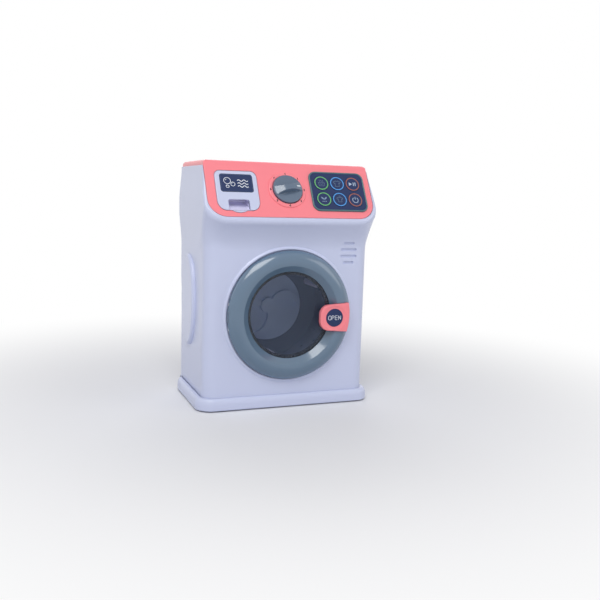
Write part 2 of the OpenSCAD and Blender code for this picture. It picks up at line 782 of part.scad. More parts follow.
module rear_screws() color(steel_color) for (boss = rear_bosses)
    translate([boss[0], back_y - screw_head_h, boss[1]]) rotate([-90, 0, 0])
        screw(screw_head_r, screw_head_h - 0.2, screw_r - seat_gap, rear_screw_len);

module battery_box() color(dark_color) difference() {
    union() {
        translate([battery_x - bay_w / 2 - box_wall, rear_y - bay_deep - box_wall, bay_z - box_wall])
            cube([bay_w + 2 * box_wall, bay_deep + box_wall, bay_h + 2 * box_wall]);
        translate([battery_x - bay_w / 2 - box_flange - cover_over, rear_y - flange_t, bay_z - box_flange])
            cube([bay_w + 2 * (box_flange + cover_over), flange_t, cover_top - bay_z + 2 * box_flange]);
        // boss for the cover's screw
        translate([battery_x, rear_y, cover_screw_z]) rotate([90, 0, 0])
            cylinder(r = boss_r, h = boss_len / 2);
    }
    translate([battery_x - bay_w / 2, rear_y - bay_deep, bay_z]) cube([bay_w, bay_deep + over, bay_h]);
    translate([battery_x, rear_y + over, cover_screw_z]) rotate([90, 0, 0])
        cylinder(r = 2 * small_r, h = boss_len / 2 - over);
}

module battery_cells() color([0.82, 0.62, 0.25]) for (i = [0:cells - 1])
    translate([battery_x, rear_y - bay_deep + cell_r + 0.1, bay_z + (i + 0.5) * cell_pitch + 0.25])
        rotate([0, i % 2 == 0 ? 90 : -90, 0]) {
            cylinder(r = cell_r, h = cell_len - 1.2, center = true);
            cylinder(r = cell_r * 0.38, h = cell_len / 2 - 0.05);
        }

// Battery contacts: a plate for each end of each cell
module battery_contacts() color(steel_color) for (i = [0:cells - 1], side = [-1, 1])
    translate([battery_x + side * (bay_w - contact_t) / 2, rear_y - bay_deep + cell_r + 0.1,
        bay_z + (i + 0.5) * cell_pitch + 0.25])
        cube([contact_t, cell_r * 1.3, cell_r * 1.3], center = true);

module battery_cover() color(shell_color) {
    difference() {
        union() {
            translate([battery_x - bay_w / 2 - cover_over, back_y - cover_t, cover_z])
                cube([bay_w + 2 * cover_over, cover_t, cover_top - cover_z]);
            translate([battery_x, cover_y, cover_z]) rotate([0, 90, 0])
                cylinder(r = cover_t / 2, h = bay_w + 2 * cover_over, center = true);
            translate([battery_x, cover_y, cover_z]) rotate([0, 90, 0])
                cylinder(r = cover_pin_r, h = bay_w + 2 * (cover_over + cover_pin - 0.1), center = true);
        }
        translate([battery_x, back_y + over, cover_screw_z]) rotate([90, 0, 0]) {
            cylinder(r = small_r + 0.05, h = rear_t + 2 * over);
            cylinder(r = small_head_r + 0.2, h = over + small_head_h);
        }
        // grip grooves
        for (x = [-4:4]) translate([battery_x + 3 * x, back_y, cover_top - 13])
            cube([1, 1, 6], center = true);
    }
}

module battery_screw() color(steel_color)
    translate([battery_x, back_y - small_head_h, cover_screw_z]) rotate([-90, 0, 0])
        screw(small_head_r, small_head_h - 0.1, small_r, 5);

module speaker() color(dark_color) translate([speaker_x, rear_y, speaker_z]) rotate([90, 0, 0]) {
    difference() {
        cylinder(r = speaker_r, h = speaker_deep);
        translate([0, 0, -over]) cylinder(r = speaker_r * 0.9, h = over + speaker_deep * 0.4);
        translate([0, 0, -over])
            cylinder(r1 = speaker_r * 0.85, r2 = speaker_r * 0.5, h = over + speaker_deep * 0.75);
    }
    translate([0, 0, speaker_deep]) cylinder(r = speaker_r * 0.55, h = 1.25 * speaker_deep);
}

// Door: a domed ring with a bevel inside it
module door_ring() color(slate_color) difference() {
    at_door() difference() {
        rotate_extrude() difference() {
            intersection() {
                polygon([[window_r, door_gap], [door_r - rim_bevel, door_gap],
                    [door_r, door_gap + rim_bevel], [door_r, reach], [bevel_r, reach],
                    [bevel_r, bevel_top], [window_r, bevel_foot]]);
                translate(dome_c) circle(door_dome_r);
            }
            // seats of the window and its liner
            square([window_r + window_flange + 0.3, window_seat]);
            square([window_r + liner_w + 0.3, door_gap + liner_t + 0.1]);
        }
        // bed of the latch tab
        translate([0, latch_z, latch_floor]) linear_extrude(reach) latch_outline(slide_gap, 2 * latch_in);
        // guide holes, spring beds and the hook's slot
        for (side = [-1, 1]) translate([stem_x, latch_z + side * stem_pitch / 2, 0]) {
            translate([0, 0, latch_back - stem_len - latch_travel - 0.3])
                cylinder(r = stem_r + shaft_gap, h = reach);
            translate([0, 0, latch_floor - spring_deep]) cylinder(r = spring_r + 0.2, h = reach);
        }
        translate([hook_x - 0.5, latch_z - hook_h / 2 - 0.5, 0])
            cube([hook_t + hook_nose + 0.9, hook_h + 1, reach]);
        // screw holes
        for (turn = [30:60:330]) rotate(turn) translate([liner_screw_r, 0, 0]) cylinder(r = small_r, h = 5);
        // bore of the hinge pin and the pocket of the middle knuckle
        translate([hinge_x, 0, hinge_out]) rotate([90, 0, 0])
            cylinder(r = hinge_pin_r + shaft_gap, h = hinge_pin_len + 0.6, center = true);
        translate([hinge_x, 0, hinge_out]) rotate([90, 0, 0])
            cylinder(r = knuckle_r + part_gap, h = pocket_h, center = true);
        translate([hinge_x - 3, -pocket_h / 2, door_gap - over])
            cube([3, pocket_h, hinge_out + knuckle_r + part_gap - door_gap + over]);
    }
}

// Points along an arc
function arc(middle, r, a0, a1, steps) = [for (i = [0:steps]) let (a = a0 + (a1 - a0) * i / steps)
    middle + r * [cos(a), sin(a)]];

// The tab's outline: two round corners at its left, and wider towards its straight edge at the door's rim
function mirrored(points) = [for (i = [len(points) - 1:-1:0]) [points[i][0], -points[i][1]]];
module latch_outline(grow = 0, past = 0) {
    x0 = latch_x - latch_w + latch_corner_r;
    x1 = latch_x + grow + past;
    rise = latch_h / 2 + grow / cos(latch_fan);
    corner = rise - (latch_x - x0) * tan(latch_fan) - (latch_corner_r + grow) / cos(latch_fan);
    upper = concat([[x1, rise + (x1 - latch_x) * tan(latch_fan)]],
        arc([x0, corner], latch_corner_r + grow, 90 + latch_fan, 180, 10));
    polygon(concat(upper, mirrored(upper)));
}

module door_window() color([0.25, 0.28, 0.30, 0.5]) at_door() rotate_extrude() {
    intersection() {
        difference() {
            translate([0, window_seat + window_bulge - cap_r - 0.05]) circle(cap_r, $fn = 720);
            translate([0, window_seat + window_bulge - cap_r - 0.05 - window_t]) circle(cap_r, $fn = 720);
        }
        translate([0, window_lip + 0.7]) square([window_r - 0.3, window_bulge + window_t + 1]);
    }
    translate([window_r - window_t - 0.3, window_lip + 0.7])
        square([window_flange + window_t + 0.3, window_seat - window_lip - 0.75]);
}

module door_liner() color(dark_color) at_door() difference() {
    rotate_extrude() {
        translate([window_r - liner_in, door_gap]) square([liner_w + liner_in, liner_t]);
        translate([window_r - liner_in, -liner_lip]) square([1.6, liner_lip + door_gap + 0.1]);
    }
    for (turn = [30:60:330]) rotate(turn) translate([liner_screw_r, 0, -over]) {
        cylinder(r = small_r + 0.1, h = door_screw_len + over);
        cylinder(r = small_head_r + 0.2, h = over + door_gap + door_screw_in);
    }
}

module door_screws() color(steel_color) at_door() for (turn = [30:60:330]) rotate(turn)
    translate([liner_screw_r, 0, door_gap + door_screw_in]) rotate([180, 0, 0])
        screw(small_head_r, door_screw_head, small_r - seat_gap, door_screw_len);

module hinge_pin() color(steel_color) at_door() translate([hinge_x, 0, hinge_out]) rotate([90, 0, 0])
    cylinder(r = hinge_pin_r, h = hinge_pin_len, center = true);

// Bracket on the cabinet that holds the middle knuckle
module hinge_bracket() color(slate_color) at_door() difference() {
    union() {
        translate([hinge_x, 0, hinge_out]) rotate([90, 0, 0])
            cylinder(r = knuckle_r, h = knuckle_h, center = true);
        translate([hinge_x - arm_t / 2, -knuckle_h / 2, 0]) cube([arm_t, knuckle_h, hinge_out]);
    }
    translate([hinge_x, 0, hinge_out]) rotate([90, 0, 0])
        cylinder(r = hinge_pin_r + seat_gap, h = knuckle_h + 2 * over, center = true);
}

// Latch: a sprung tab with its hook
module latch_tab() color(coral_color) at_door() difference() {
    union() {
        translate([0, latch_z, latch_back]) linear_extrude(latch_front - latch_back) latch_outline();
        for (side = [-1, 1]) translate([stem_x, latch_z + side * stem_pitch / 2, latch_back - stem_len])
            cylinder(r = stem_r, h = stem_len + over);
    }
    translate([badge_x, latch_z, latch_front - badge_in]) cylinder(r = badge_r + 0.1, h = over);
    // finger hollow along the tab's front
    translate([0, latch_z, latch_front]) intersection() {
        translate([badge_x, 0, badge_r * 3.6]) sphere(badge_r * 3.6 + 0.35, $fn = 180);
        translate([0, 0, -badge_in]) cylinder(r = reach, h = badge_in);
    }
}

module latch_badge() color(navy_color) at_door()
    translate([badge_x, latch_z, latch_front - badge_in]) cylinder(r = badge_r, h = badge_t);

module latch_hook() color(coral_color) at_door() translate([hook_x, latch_z - hook_h / 2, -hook_reach]) {
    cube([hook_t, hook_h, hook_reach + latch_back]);
    cube([hook_t + hook_nose, hook_h, 1.8]);
}

module latch_springs() color(steel_color) at_door() for (side = [-1, 1])
    translate([stem_x, latch_z + side * stem_pitch / 2, latch_floor - spring_deep])
        ring(spring_r, stem_r + spring_play, spring_deep);

module latch_keeper() color(steel_color) at_door() difference() {
    keeper_x = hook_x + hook_t + hook_nose + slot_side;
    translate([keeper_x, latch_z - hook_h, -wall - keeper_deep]) cube([keeper_t, 2 * hook_h, keeper_deep]);
    translate([keeper_x + keeper_hole_in, 0, keeper_hole_up - wall - keeper_deep]) rotate([90, 0, 0])
        cylinder(r = keeper_hole_r, h = reach, center = true);
}

// Ring that lines the mouth between door and drum
module mouth_ring() color(teal_color) at_door() rotate_extrude() {
    polygon([[ring_r + 2.5, -0.4], [mouth_r - part_gap, -0.4], [mouth_r - part_gap, -wall - part_gap],
        [mouth_r + 2, -wall - part_gap], [mouth_r + 2, tub_p + 0.02], [ring_r + 2, tub_p + 0.02],
        [ring_r + 2, drum_p + 1], [ring_r, drum_p + 1], [ring_r, tub_p + 0.6]]);
}

// Tub: a fixed can round the drum
module tub_shell() color(lilac_color) difference() {
    at_door() difference() {
        union() {
            rotate_extrude() polygon([[mouth_r, tub_p], [tub_r, tub_p], [tub_r, tub_back_p],
                [bush_r, tub_back_p], [bush_r, tub_back_p + tub_wall],
                [tub_r - tub_wall, tub_back_p + tub_wall], [tub_r - tub_wall, tub_p - tub_wall],
                [mouth_r, tub_p - tub_wall]]);
            translate([0, 0, hub_p]) ring(hub_r, bush_r, tub_back_p + tub_wall - hub_p);
            for (turn = [0:45:315]) rotate(turn) translate([hub_r - 0.5, -0.8, hub_p + 1.5])
                cube([tub_r - hub_r - 1, 1.6, hub_len - 1]);
            for (ear = tub_ears) intersection() {
                union() {
                    translate([ear[0], ear[1], tub_p - tub_wall]) cylinder(r = ear_boss, h = tub_wall);
                    translate([0, 0, tub_p - tub_wall]) rotate(atan2(ear[1], ear[0]))
                        translate([mouth_r, -ear_boss]) cube([ear_r - mouth_r, 2 * ear_boss, tub_wall]);
                }
                translate([0, 0, tub_p - tub_wall]) ring(ear_r + ear_boss, mouth_r, tub_wall);
            }
        }
        for (ear = tub_ears) translate([ear[0], ear[1], tub_p - tub_wall - over])
            cylinder(r = screw_r + 0.3, h = tub_wall + 2 * over);
        // notch for the door's hook and its keeper
        translate([hook_x - slot_side, latch_z - hook_h - slot_side, -hook_room])
            cube([tub_r - hook_x + 2 * slot_side, 2 * (hook_h + slot_side), hook_room]);
    }
}

module tub_screws() color(steel_color) at_door() for (ear = tub_ears)
    translate([ear[0], ear[1], tub_p - tub_wall]) rotate([180, 0, 0])
        screw(screw_head_r, screw_head_h, screw_r - seat_gap, tub_wall + tub_back - 0.4);

module bearing_bush() color([0.85, 0.72, 0.40]) at_door() translate([0, 0, hub_p])
    ring(bush_r - seat_gap, shaft_r + shaft_gap, hub_len + tub_wall);

// Drum, open at the front, with rows of holes
module drum_shell() color(steel_color) at_door() difference() {
    rotate_extrude() polygon([[drum_mouth_r, drum_p], [drum_r, drum_p], [drum_r, drum_back_p],
        [shaft_r + seat_gap, drum_back_p], [shaft_r + seat_gap, drum_back_p + drum_wall],
        [drum_r - drum_wall, drum_back_p + drum_wall], [drum_r - drum_wall, drum_p - drum_wall],
        [drum_mouth_r, drum_p - drum_wall]]);
    for (row = [1:hole_rows], i = [0:holes_round - 1])
        rotate((i + 0.25 + (row % 2) / 2) * 360 / holes_round)
            translate([drum_r - drum_wall - over, 0, drum_p - row * drum_len / (hole_rows + 1)])
                rotate([0, 90, 0]) cylinder(r = hole_r, h = drum_wall + 2 * over);
}

module drum_lifters() color(lilac_color) at_door() for (turn = [30, 150, 270]) rotate(turn) intersection() {
    translate([0, 0, drum_back_p + drum_wall + lifter_end])
        linear_extrude(drum_len - 2 * (drum_wall + lifter_end))
        polygon([[reach, -lifter_w / 2], [drum_r - drum_wall - 2, -lifter_w / 2],
            [drum_r - drum_wall - lifter_h, -1.5], [drum_r - drum_wall - lifter_h, 1.5],
            [drum_r - drum_wall - 2, lifter_w / 2], [reach, lifter_w / 2]]);
    translate([0, 0, drum_back_p]) cylinder(r = drum_r - drum_wall - seat_gap, h = drum_len);
}

// Swirl plate with three curved petals round its hub
module petal() difference() {
    translate([swirl_r * 0.5, 0]) circle(swirl_r * 0.42);
    translate([swirl_r * 0.5, -swirl_r * 0.3]) circle(swirl_r * 0.5);
}

module drum_swirl() color(lilac_color) at_door() translate([0, 0, drum_back_p + drum_wall]) difference() {
    union() {
        cylinder(r = swirl_r, h = swirl_t);
        for (turn = [0:120:240]) rotate(turn) translate([0, 0, swirl_t / 2])
            linear_extrude(swirl_t / 2 + petal_h) petal();
        translate([0, 0, swirl_t / 2]) cylinder(r = swirl_r * 0.22, h = swirl_t / 2 + petal_h + 1);
    }
    translate([0, 0, -over]) cylinder(r = shaft_r + seat_gap, h = swirl_t + over);
}

module drum_shaft() color(steel_color) at_door() translate([0, 0, pulley_p - pulley_w])
    cylinder(r = shaft_r, h = drum_back_p + drum_wall + swirl_t - pulley_p + pulley_w);

module pulley(r, bore) rotate([180, 0, 0]) rotate_extrude() polygon([[bore, 0], [r + groove, 0],
    [r + groove, pulley_rim], [r, pulley_rim], [r, pulley_w - pulley_rim],
    [r + groove, pulley_w - pulley_rim], [r + groove, pulley_w], [bore, pulley_w]]);

module drum_pulley() color(dark_color) at_door() translate([0, 0, pulley_p]) difference() {
    pulley(pulley_r, shaft_r + seat_gap);
    for (turn = [0:60:300]) rotate(turn) translate([pulley_r * 0.6, 0, -pulley_w - over])
        cylinder(r = pulley_r * 0.18, h = pulley_w + 2 * over);
}

module motor_pulley() color(dark_color) translate([motor_x, 0, motor_z - door_z]) at_door()
    translate([0, 0, pulley_p]) pulley(motor_pulley_r, motor_shaft_r + seat_gap);

module motor_shaft() color(steel_color) translate([motor_x, 0, motor_z - door_z]) at_door()
    translate([0, 0, pulley_p - pulley_w])
        cylinder(r = motor_shaft_r, h = motor_p - pulley_p + pulley_w + motor_shaft_in);

module motor_can() color(steel_color) translate([motor_x, 0, motor_z - door_z]) at_door() difference() {
    translate([0, 0, motor_p]) cylinder(r = motor_r, h = motor_len);
    translate([0, 0, motor_p - over]) cylinder(r = motor_shaft_r + shaft_gap, h = motor_shaft_in + 2 * over);
}

module motor_bracket() color(steel_color) {
    translate([motor_x, front_y - motor_p, 0]) difference() {
        translate([-motor_r - bracket_side, 0, shell_z])
            cube([2 * (motor_r + bracket_side), bracket_t, motor_up + motor_r + bracket_side]);
        translate([0, -over, motor_z]) rotate([-90, 0, 0])
            cylinder(r = bracket_hole_r, h = bracket_t + 2 * over);
    }
    translate([motor_x - motor_r - bracket_side, front_y - motor_p - bracket_foot, shell_z])
        cube([2 * (motor_r + bracket_side), bracket_foot, bracket_t]);
}

// Belt: an arc round each pulley, joined by the two straight runs
module belt_outline(grow) {
    far = [motor_x, motor_z - door_z];
    lead = acos((pulley_r - motor_pulley_r) / motor_dist);
    aim = atan2(far[1], far[0]);
    polygon(concat(arc([0, 0], pulley_r + grow, aim + lead, aim + 360 - lead, 60),
        arc(far, motor_pulley_r + grow, aim - lead, aim + lead, 24)));
}

module drive_belt() color(dark_color) at_door()
    translate([0, 0, pulley_p - pulley_w / 2 - belt_w / 2]) linear_extrude(belt_w) difference() {
        belt_outline(belt_in + belt_t);
        belt_outline(belt_in);
    }

// Coloured panel and top cover in one piece
module panel_side(deep, y_end, z1, z0) polygon([[panel_y_at(z0, deep), z0], [panel_y_at(z1, deep), z1],
    [y_end, z1], [y_end, z0]]);

module fascia_side() {
    run = cover_round * tan((90 - panel_tilt) / 2);
    top_y = panel_y_at(total_h);
    z0 = panel_z - 2 * ledge_w;
    polygon([[panel_y_at(z0), z0], [top_y - run * tilt_sin, total_h - run * tilt_cos],
        [top_y + run, total_h], [back_y, total_h], [back_y, z0]]);
    translate([top_y + run, total_h - cover_round]) circle(cover_round);
}

module fascia_front() {
    low = panel_z - 2 * ledge_w;
    for (side = [-1, 1]) translate([side * (fascia_half - cover_round), total_h - cover_round])
        circle(cover_round);
    translate([-fascia_half, low]) square([fascia_w, total_h - low - cover_round]);
    translate([-fascia_half + cover_round, low]) square([fascia_w - 2 * cover_round, total_h - low]);
}

// The drawer front seen from the front, and the lip under it
module thumb_outline(grow = 0) translate([drawer_x, thumb_z]) circle(thumb_r + grow);

module drawer_outline(grow = 0) {
    half = drawer_w / 2 + grow;
    lo = drawer_z - grow;
    hi = drawer_z + drawer_h + grow;
    translate([drawer_x, 0]) {
        for (side = [-1, 1]) {
            translate([side * (half - drawer_low_r), lo + drawer_low_r]) circle(drawer_low_r);
            translate([side * (half - drawer_top_r), hi - drawer_top_r]) circle(drawer_top_r);
        }
        translate([-half, lo + drawer_low_r]) square([2 * half, hi - lo - drawer_low_r - drawer_top_r]);
        translate([-half + drawer_low_r, lo]) square([2 * (half - drawer_low_r), drawer_low_r]);
        translate([-half + drawer_top_r, hi - drawer_top_r])
            square([2 * (half - drawer_top_r), drawer_top_r]);
    }
}

module at_keypad() on_panel() translate([keypad_x, keypad_s, 0]) children();

module control_fascia() color(coral_color) difference() {
    union() {
        difference() {
            intersection() {
                along_x(fascia_w) fascia_side();
                on_panel() translate([0, 0, -reach]) linear_extrude(2 * reach)
                    soft_front(fascia_half, 0, reach, fascia_corner_r);
                along_y(front_y - lip_over, back_y) fascia_front();
            }
            along_x(head_w) panel_side(fascia_t, back_y + over, wall_top, shell_z);
            along_x(fascia_w - 2 * skirt_w)
                panel_side(fascia_t, back_y - skirt_w, total_h - fascia_t, shell_z);
        }
        on_panel() translate([dial_x, dial_s, -over]) ring(dial_ring_r, dial_r + 0.5, dial_ring_h + over);
        at_keypad() for (x = [-1, 1], s = [-1, 1]) translate([x * post_x, s * post_s, -board_deep])
            cylinder(r = post_r, h = board_deep);
    }
    // hole for the drawer, drawn straight back so that it slides out level
    along_y(front_y - lip_over, panel_y_at(total_h)) {
        drawer_outline(slide_gap);
        thumb_outline(slide_gap);
    }
    on_panel() translate([dial_x, dial_s, -reach / 2]) cylinder(r = spindle_r + 0.3, h = reach);
    at_keypad() translate([0, 0, -fascia_t - over]) linear_extrude(reach)
        round_rect(keypad_hole_w, keypad_hole_h, keypad_r - 2);
    at_keypad() for (x = [-1, 1], s = [-1, 1]) translate([x * post_x, s * post_s, -board_deep - over])
        cylinder(r = small_r, h = board_deep - fascia_t + over + 1);
}

module keypad_frame() color(teal_color) at_keypad() linear_extrude(keypad_rim_h) difference() {
    round_rect(keypad_w, keypad_h, keypad_r);
    round_rect(keypad_w - 2 * keypad_rim, keypad_h - 2 * keypad_rim, keypad_r - keypad_rim);
}

key_places = [for (row = [1, -1], col = [-1:1]) [col * key_pitch_x, row * key_pitch_s / 2]];

module keypad_plate() color(navy_color) at_keypad() difference() {
    linear_extrude(keyplate_t)
        round_rect(keypad_w - 2 * keypad_rim - 0.1, keypad_h - 2 * keypad_rim - 0.1, keypad_r - keypad_rim);
    for (place = key_places) translate([place[0], place[1], -over])
        cylinder(r = key_hole, h = keyplate_t + 2 * over);
}

module key(i) color(navy_color) at_keypad() translate([key_places[i][0], key_places[i][1], 0]) {
    translate([0, 0, -part_gap - key_flange_t]) cylinder(r = key_flange_r, h = key_flange_t);
    translate([0, 0, -part_gap - over]) cylinder(r = key_r, h = part_gap + over + keyplate_t + key_out);
    translate([0, 0, -part_gap - key_flange_t - key_stem]) cylinder(r = key_stem_r, h = key_stem + over);
}

module key_1() key(0);
module key_2() key(1);
module key_3() key(2);
module key_4() key(3);
module key_5() key(4);
module key_6() key(5);

module circuit_board() color([0.20, 0.42, 0.28]) at_keypad()
    translate([0, 0, -board_deep - board_t]) difference() {
        linear_extrude(board_t) round_rect(board_w, board_h, 2);
        for (x = [-1, 1], s = [-1, 1]) translate([x * post_x, s * post_s, -over])
            cylinder(r = small_r + 0.2, h = board_t + 2 * over);
    }

module board_screws() color(steel_color) at_keypad() for (x = [-1, 1], s = [-1, 1])
    translate([x * post_x, s * post_s, -board_deep - board_t]) rotate([180, 0, 0])
        screw(small_head_r, small_head_h, small_r - seat_gap, board_screw_len);

module key_switches() color(dark_color) at_keypad() for (place = key_places)
    translate([place[0], place[1], -board_deep]) {
        switch_h = board_deep - part_gap - key_flange_t - key_stem - key_travel - part_gap;
        translate([-switch_w / 2, -switch_w / 2, 0]) cube([switch_w, switch_w, switch_h * 0.7]);
        cylinder(r = 1.7, h = switch_h);
    }

module control_chip() color(dark_color) at_keypad() translate([0, 0, -board_deep - board_t - chip_t])
    linear_extrude(chip_t) round_rect(chip_w, chip_w, 1);

module dial_encoder() color(dark_color) on_panel()
    translate([dial_x, dial_s, -fascia_t - encoder_t]) difference() {
        linear_extrude(encoder_t) round_rect(encoder_w, encoder_w, 2);
        translate([0, 0, encoder_floor - 0.2]) cylinder(r = spindle_r + shaft_gap, h = encoder_t);
    }

module dial_spindle() color(steel_color) on_panel()
    translate([dial_x, dial_s, -fascia_t - encoder_t + encoder_floor])
        cylinder(r = spindle_r, h = encoder_t - encoder_floor + fascia_t + dial_skirt - spindle_cap);

module on_dial() on_panel() translate([dial_x, dial_s, part_gap]) rotate(dial_rest) children();

// Seat of the pointer, near the end of the grip's domed top
module at_pointer() translate([0, 0, dial_grip_h - grip_dome_r])
    rotate([0, asin(pointer_at / grip_dome_r), 0])
        translate([-pointer_len / 2, -pointer_w / 2, grip_dome_r - pointer_t]) children();

// The dial's grip: domed along its length, and narrow in its middle
module dial_grip() intersection() {
    translate([0, 0, dial_skirt / 2]) linear_extrude(dial_grip_h) difference() {
        translate([-grip_half, -dial_grip_end_w / 2]) square([2 * grip_half, dial_grip_end_w]);
        for (side = [-1, 1]) translate([0, side * (dial_grip_w / 2 + grip_waist_r)])
            circle(grip_waist_r, $fn = 360);
    }
    rotate_extrude() intersection() {
        translate([0, dial_grip_h - grip_dome_r]) circle(grip_dome_r, $fn = 360);
        square([grip_half, dial_grip_h + over]);
    }
}

module dial_knob() color(slate_color) on_dial() difference() {
    union() {
        cylinder(r = dial_r, h = dial_skirt);
        dial_grip();
    }
    translate([0, 0, -over])
        cylinder(r = spindle_r + seat_gap, h = dial_skirt - spindle_cap - part_gap + over);
    at_pointer() translate([-0.1, -0.1, 0]) cube([pointer_len + 0.2, pointer_w + 0.2, over]);
}

module dial_pointer() color("white") on_dial() at_pointer() cube([pointer_len, pointer_w, pointer_t]);

// Detergent drawer: its front lies in the panel's slope, and it slides out level
module drawer_slab(deep, out) on_panel() translate([-reach, -reach, -deep])
    cube([2 * reach, 2 * reach, deep + out]);

module notch_side(grow = 0) {
    z1 = drawer_z + notch_h;
    y0 = panel_y_at(drawer_z, drawer_t);
    y1 = panel_y_at(z1, drawer_t);
    polygon([[y0 - reach / 10, drawer_z - grow], [y0, drawer_z - grow], [y1 + notch_deep + grow, z1 - 2],
        [y1 + notch_deep + grow, z1 + grow], [y1 - reach / 10, z1 + grow]]);
}

module drawer_front() color(shell_color) difference() {
    union() {
        intersection() {
            along_y(front_y - lip_over, panel_y_at(total_h)) drawer_outline();
            drawer_slab(drawer_t, drawer_out);
        }
        // half-moon lip under the notch
        intersection() {
            along_y(front_y - lip_over, panel_y_at(total_h)) thumb_outline();
            drawer_slab(thumb_t, drawer_out / 2);
        }
        // cup behind the finger notch
        intersection() {
            along_x(notch_w + 2 * drawer_wall, drawer_x) notch_side(drawer_wall);
            along_y(front_y - lip_over, panel_y_at(total_h)) {
                drawer_outline();
                thumb_outline();
            }
            under_panel(0);
        }
    }
    along_x(notch_w, drawer_x) notch_side();
    on_panel() translate([drawer_x, label_s, drawer_out - label_t]) linear_extrude(over)
        round_rect(label_w, label_len, label_r);
}

module drawer_label() color(navy_color) on_panel() translate([drawer_x, label_s, drawer_out - label_t])
    linear_extrude(label_t) round_rect(label_w - 0.2, label_len - 0.2, label_r - 0.1);

module drawer_tray() color(slate_color) difference() {
    intersection() {
        along_y(-reach, tray_end) drawer_outline(-tray_side);
        under_panel(drawer_t);
        translate([-reach, -reach, 0]) cube([2 * reach, 2 * reach, tray_top]);
    }
    intersection() {
        along_y(-reach, tray_end - drawer_wall) union() {
            drawer_outline(-tray_side - drawer_wall);
            translate([drawer_x - tray_half + drawer_wall, tray_z + drawer_h / 2])
                square([2 * (tray_half - drawer_wall), drawer_h]);
        }
        under_panel(drawer_t - over);
    }
    along_x(notch_w + 2 * drawer_wall + 0.04, drawer_x) notch_side(drawer_wall + 0.02);
}

// Guide: a channel behind the panel, open in the middle where the finger cup passes
module drawer_guide() color(slate_color) difference() {
    intersection() {
        translate([drawer_x - guide_half - drawer_wall, -reach, tray_z - slide_gap - drawer_wall])
            cube([2 * (guide_half + drawer_wall), reach + tray_end + guide_end + drawer_wall, guide_h]);
        under_panel(fascia_t);
    }
    translate([drawer_x - guide_half, -reach, tray_z - slide_gap])
        cube([2 * guide_half, reach + tray_end + guide_end, reach]);
    translate([drawer_x - cup_half, -reach, tray_z - slide_gap - drawer_wall - over])
        cube([2 * cup_half, reach + cup_back + slide_gap, drawer_wall + 2 * over]);
}

cabinet_shell();
base_plinth();
foot_pads();
rear_cover();
control_fascia();
keypad_frame();
keypad_plate();
circuit_board();
key_switches();
control_chip();
dial_encoder();
speaker();
mouth_ring();
tub_shell();
bearing_bush();
motor_can();
motor_bracket();
drive_belt();
battery_box();
battery_cells();
battery_contacts();
battery_cover();
battery_screw();
rear_screws();
base_screws();
tub_screws();
board_screws();
drawer_guide();
hinge_bracket();
hinge_pin();
latch_keeper();
door_ring();
door_window();
door_liner();
door_screws();
latch_tab();
latch_badge();
latch_hook();
latch_springs();
drawer_front();
drawer_tray();
drawer_label();
dial_knob();
dial_pointer();
dial_spindle();
drum_shell();
drum_lifters();
drum_swirl();
drum_shaft();
drum_pulley();
motor_shaft();
motor_pulley();
key_1();
key_2();
key_3();
key_4();
key_5();
key_6();
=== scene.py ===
"""Dresses the toy washing machine: its mouldings, prints, finishes, the light and the camera."""

import math

import bmesh
import bpy
import numpy as np
from bpy.props import FloatProperty, FloatVectorProperty, PointerProperty
from mathutils import Matrix, Vector


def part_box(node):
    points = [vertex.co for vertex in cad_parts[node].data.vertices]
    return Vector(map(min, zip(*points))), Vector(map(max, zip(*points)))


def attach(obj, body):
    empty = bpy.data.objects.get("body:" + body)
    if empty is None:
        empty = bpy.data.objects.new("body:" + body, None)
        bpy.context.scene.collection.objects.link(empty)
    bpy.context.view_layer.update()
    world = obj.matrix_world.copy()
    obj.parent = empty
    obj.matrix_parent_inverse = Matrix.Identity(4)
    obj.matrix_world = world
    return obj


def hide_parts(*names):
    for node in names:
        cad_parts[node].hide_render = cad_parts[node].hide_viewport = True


bl_info = {
    "name": "Toy Washing Machine",
    "version": (1, 0, 0),
    "blender": (4, 5, 0),
    "location": "View3D > Sidebar > Washer",
    "description": "Builds the toy washing machine's mouldings, prints and finishes on its frame",
    "category": "Object",
}

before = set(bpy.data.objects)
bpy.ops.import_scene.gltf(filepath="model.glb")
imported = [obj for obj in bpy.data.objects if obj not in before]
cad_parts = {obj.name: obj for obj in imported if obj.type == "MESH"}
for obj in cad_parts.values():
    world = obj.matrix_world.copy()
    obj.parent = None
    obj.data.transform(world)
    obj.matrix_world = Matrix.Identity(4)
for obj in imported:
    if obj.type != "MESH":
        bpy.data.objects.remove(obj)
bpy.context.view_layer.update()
MM = 0.001


def cad_box(node):
    """A node's lowest and highest corner, in millimetres."""
    low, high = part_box(node)
    return low / MM, high / MM


# Places taken from the frame, in millimetres
SHELL_LOW, SHELL_HIGH = cad_box("cabinet_shell")
PLINTH_LOW, PLINTH_HIGH = cad_box("base_plinth")
FASCIA_LOW, FASCIA_HIGH = cad_box("control_fascia")
RING_HIGH = cad_box("door_ring")[1]
TAB_LOW, TAB_HIGH = cad_box("latch_tab")
BADGE_LOW, BADGE_HIGH = cad_box("latch_badge")
DRUM_LOW, DRUM_HIGH = cad_box("drum_shell")
DRAWER_LOW, DRAWER_HIGH = cad_box("drawer_front")
FRONT_Y = cad_box("hinge_bracket")[1].y
DOOR_Z = (DRUM_LOW.z + DRUM_HIGH.z) / 2
PANEL_TILT = math.radians(29.3)
PANEL_SKIN = 2.5
PANEL_Y = FASCIA_LOW.y
PANEL_Z = FASCIA_LOW.z + PANEL_SKIN * math.sin(PANEL_TILT)
DOOR_R = RING_HIGH.x

